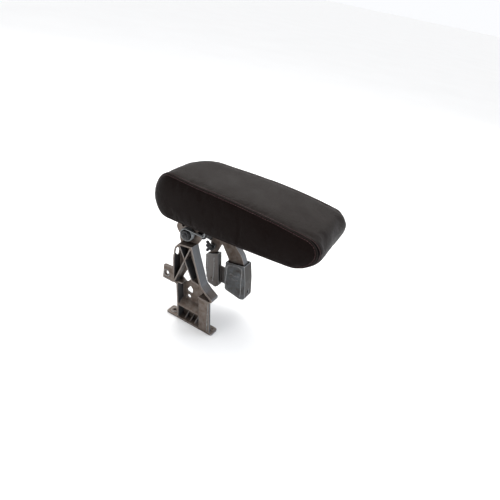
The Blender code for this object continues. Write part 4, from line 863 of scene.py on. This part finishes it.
def shoe_beads():
    """Rim and wavy ribs pressed into the base bracket's near faces."""
    verts, faces = [], []
    near = (0.0, -1.0, 0.0)
    face_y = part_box("far_base_bracket")[0][1] / MM + BEAD_SUNK
    bead(verts, faces, upright(smooth_path(PANEL_RIM, True, 8), face_y), near, BEAD_RADIUS, True)
    for path in PANEL_RIBS + REAR_SHOE_RIBS:
        bead(verts, faces, upright(smooth_path(path, False), face_y), near, BEAD_RADIUS)
    # Beads in a lighter colour: painted highlight.
    beads = add_mesh("shoe_beads", verts, faces, HIGHLIT_RUBBED_METAL)
    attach(beads, "bracket")


def frame_beads():
    """Cast rings round the tab's slot and the foot's hole, the tab's lower lip and the column's edge."""
    verts, faces = [], []
    near = (0.0, -1.0, 0.0)
    tab_ring = upright(ring(TAB_RING_CENTRE, TAB_RING_RADIUS), TAB_FACE_Y - TAB_RING_PROUD)
    bead(verts, faces, tab_ring, near, TAB_RING_BEAD, True)
    bead(verts, faces, upright(smooth_path(TAB_LIP, False), TAB_FACE_Y), near, BEAD_RADIUS)
    bead(verts, faces, upright(smooth_path(COLUMN_LINE, False), TAB_FACE_Y), near, COLUMN_LINE_RADIUS)
    foot = [(x, y, FOOT_TOP_Z) for x, y in ring(FOOT_RING_CENTRE, FOOT_RING_RADIUS)]
    bead(verts, faces, foot, (0.0, 0.0, 1.0), BEAD_RADIUS, True)
    # Beads in a lighter colour: painted highlight.
    beads = add_mesh("frame_beads", verts, faces, HIGHLIT_RUBBED_METAL)
    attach(beads, "bracket")


shoe_beads()
frame_beads()


# Floor, lights and camera (metres, watts)

FLOOR_HALF = 40.0
FLOOR_GAP = 0.0004
HORIZON_FADE = {"From Min": 0.05, "From Max": 0.75, "To Min": 1.0, "To Max": 0.34}
SKY_COLOR = (0.97, 0.98, 1.0, 1.0)
SUN_STRENGTH = 1.75
SUN_ANGLE = 70.0
SUN_TURN = (-12.0, -8.0)
LIGHT_CENTRE = (-0.02, 0.0, 0.22)
FRAME_CENTRE = (-0.04, 0.0, 0.10)
AREA_LIGHTS = (
    ("key", (-0.15, 0.10, 1.9), LIGHT_CENTRE, (1.6, 1.6), 18.0, (1.0, 0.99, 0.97)),
    ("back_softbox", (-0.80, 1.75, 1.40), LIGHT_CENTRE, (2.6, 1.6), 20.0, (1.0, 0.96, 0.92)),
    ("right_softbox", (1.6, 1.3, 0.75), LIGHT_CENTRE, (1.4, 1.1), 20.0, (0.86, 0.92, 1.0)),
    ("front_fill", (1.5, -0.4, 0.7), LIGHT_CENTRE, (1.0, 1.0), 5.0, (0.84, 0.91, 1.0)),
    ("near_fill", (-0.55, -1.6, 0.40), FRAME_CENTRE, (1.4, 0.7), 3.5, (1.0, 0.94, 0.88)))


def stage_floor():
    half = FLOOR_HALF
    corners = np.array([(-half, -half, 0), (half, -half, 0), (half, half, 0), (-half, half, 0)])
    floor = add_mesh("floor", corners / MM, [(0, 1, 2, 3)], floor_material(), False)
    floor.location.z = -FLOOR_GAP


def floor_material():
    n = Nodes("pale_floor")
    clouds = n.noise(2.0, 2.0)
    color = n.ramp(clouds, [(0.3, (0.93, 0.93, 0.93)), (0.7, (0.95, 0.95, 0.95))])
    behind = n.add("ShaderNodeNewGeometry").outputs["Backfacing"]
    return n.set(Base_Color=color, Roughness=0.9, Alpha=n.spread(behind, 1.0, 0.0, 0.0, 1.0))


def area_light(name, place, target, size, power, color):
    light = bpy.data.lights.new(name, "AREA")
    light.shape = "RECTANGLE"
    light.size, light.size_y = size
    light.energy = power
    light.color = color
    obj = bpy.data.objects.new(name, light)
    bpy.context.scene.collection.objects.link(obj)
    obj.location = place
    obj.rotation_euler = (Vector(target) - Vector(place)).to_track_quat("-Z", "Y").to_euler()


def light_scene():
    world = bpy.data.worlds.new("studio")
    bpy.context.scene.world = world
    world.use_nodes = True
    nodes, links = world.node_tree.nodes, world.node_tree.links
    background = nodes["Background"]
    background.inputs["Color"].default_value = SKY_COLOR
    place = nodes.new("ShaderNodeTexCoord")
    split = nodes.new("ShaderNodeSeparateXYZ")
    fade = nodes.new("ShaderNodeMapRange")
    for name, value in HORIZON_FADE.items():
        fade.inputs[name].default_value = value
    links.new(place.outputs["Generated"], split.inputs["Vector"])
    links.new(split.outputs["Z"], fade.inputs["Value"])
    links.new(fade.outputs["Result"], background.inputs["Strength"])
    overhead = bpy.data.lights.new("overhead", "SUN")
    overhead.energy = SUN_STRENGTH
    overhead.angle = math.radians(SUN_ANGLE)
    lamp = bpy.data.objects.new("overhead", overhead)
    bpy.context.scene.collection.objects.link(lamp)
    lamp.rotation_euler = (math.radians(SUN_TURN[0]), math.radians(SUN_TURN[1]), 0.0)
    for values in AREA_LIGHTS:
        area_light(*values)


def place_camera():
    data = bpy.data.cameras.new("camera")
    data.sensor_width = SENSOR
    data.lens = SENSOR * FOCAL_PIXELS / IMAGE_PIXELS
    data.clip_start = 0.01
    camera = bpy.data.objects.new("camera", data)
    bpy.context.scene.collection.objects.link(camera)
    turn = Matrix((CAMERA_RIGHT, CAMERA_UP, CAMERA_BACK)).transposed()
    camera.matrix_world = Matrix.Translation(CAMERA_PLACE) @ turn.to_4x4()
    bpy.context.scene.camera = camera


bpy.context.scene.view_settings.view_transform = "Standard"
stage_floor()
light_scene()
place_camera()
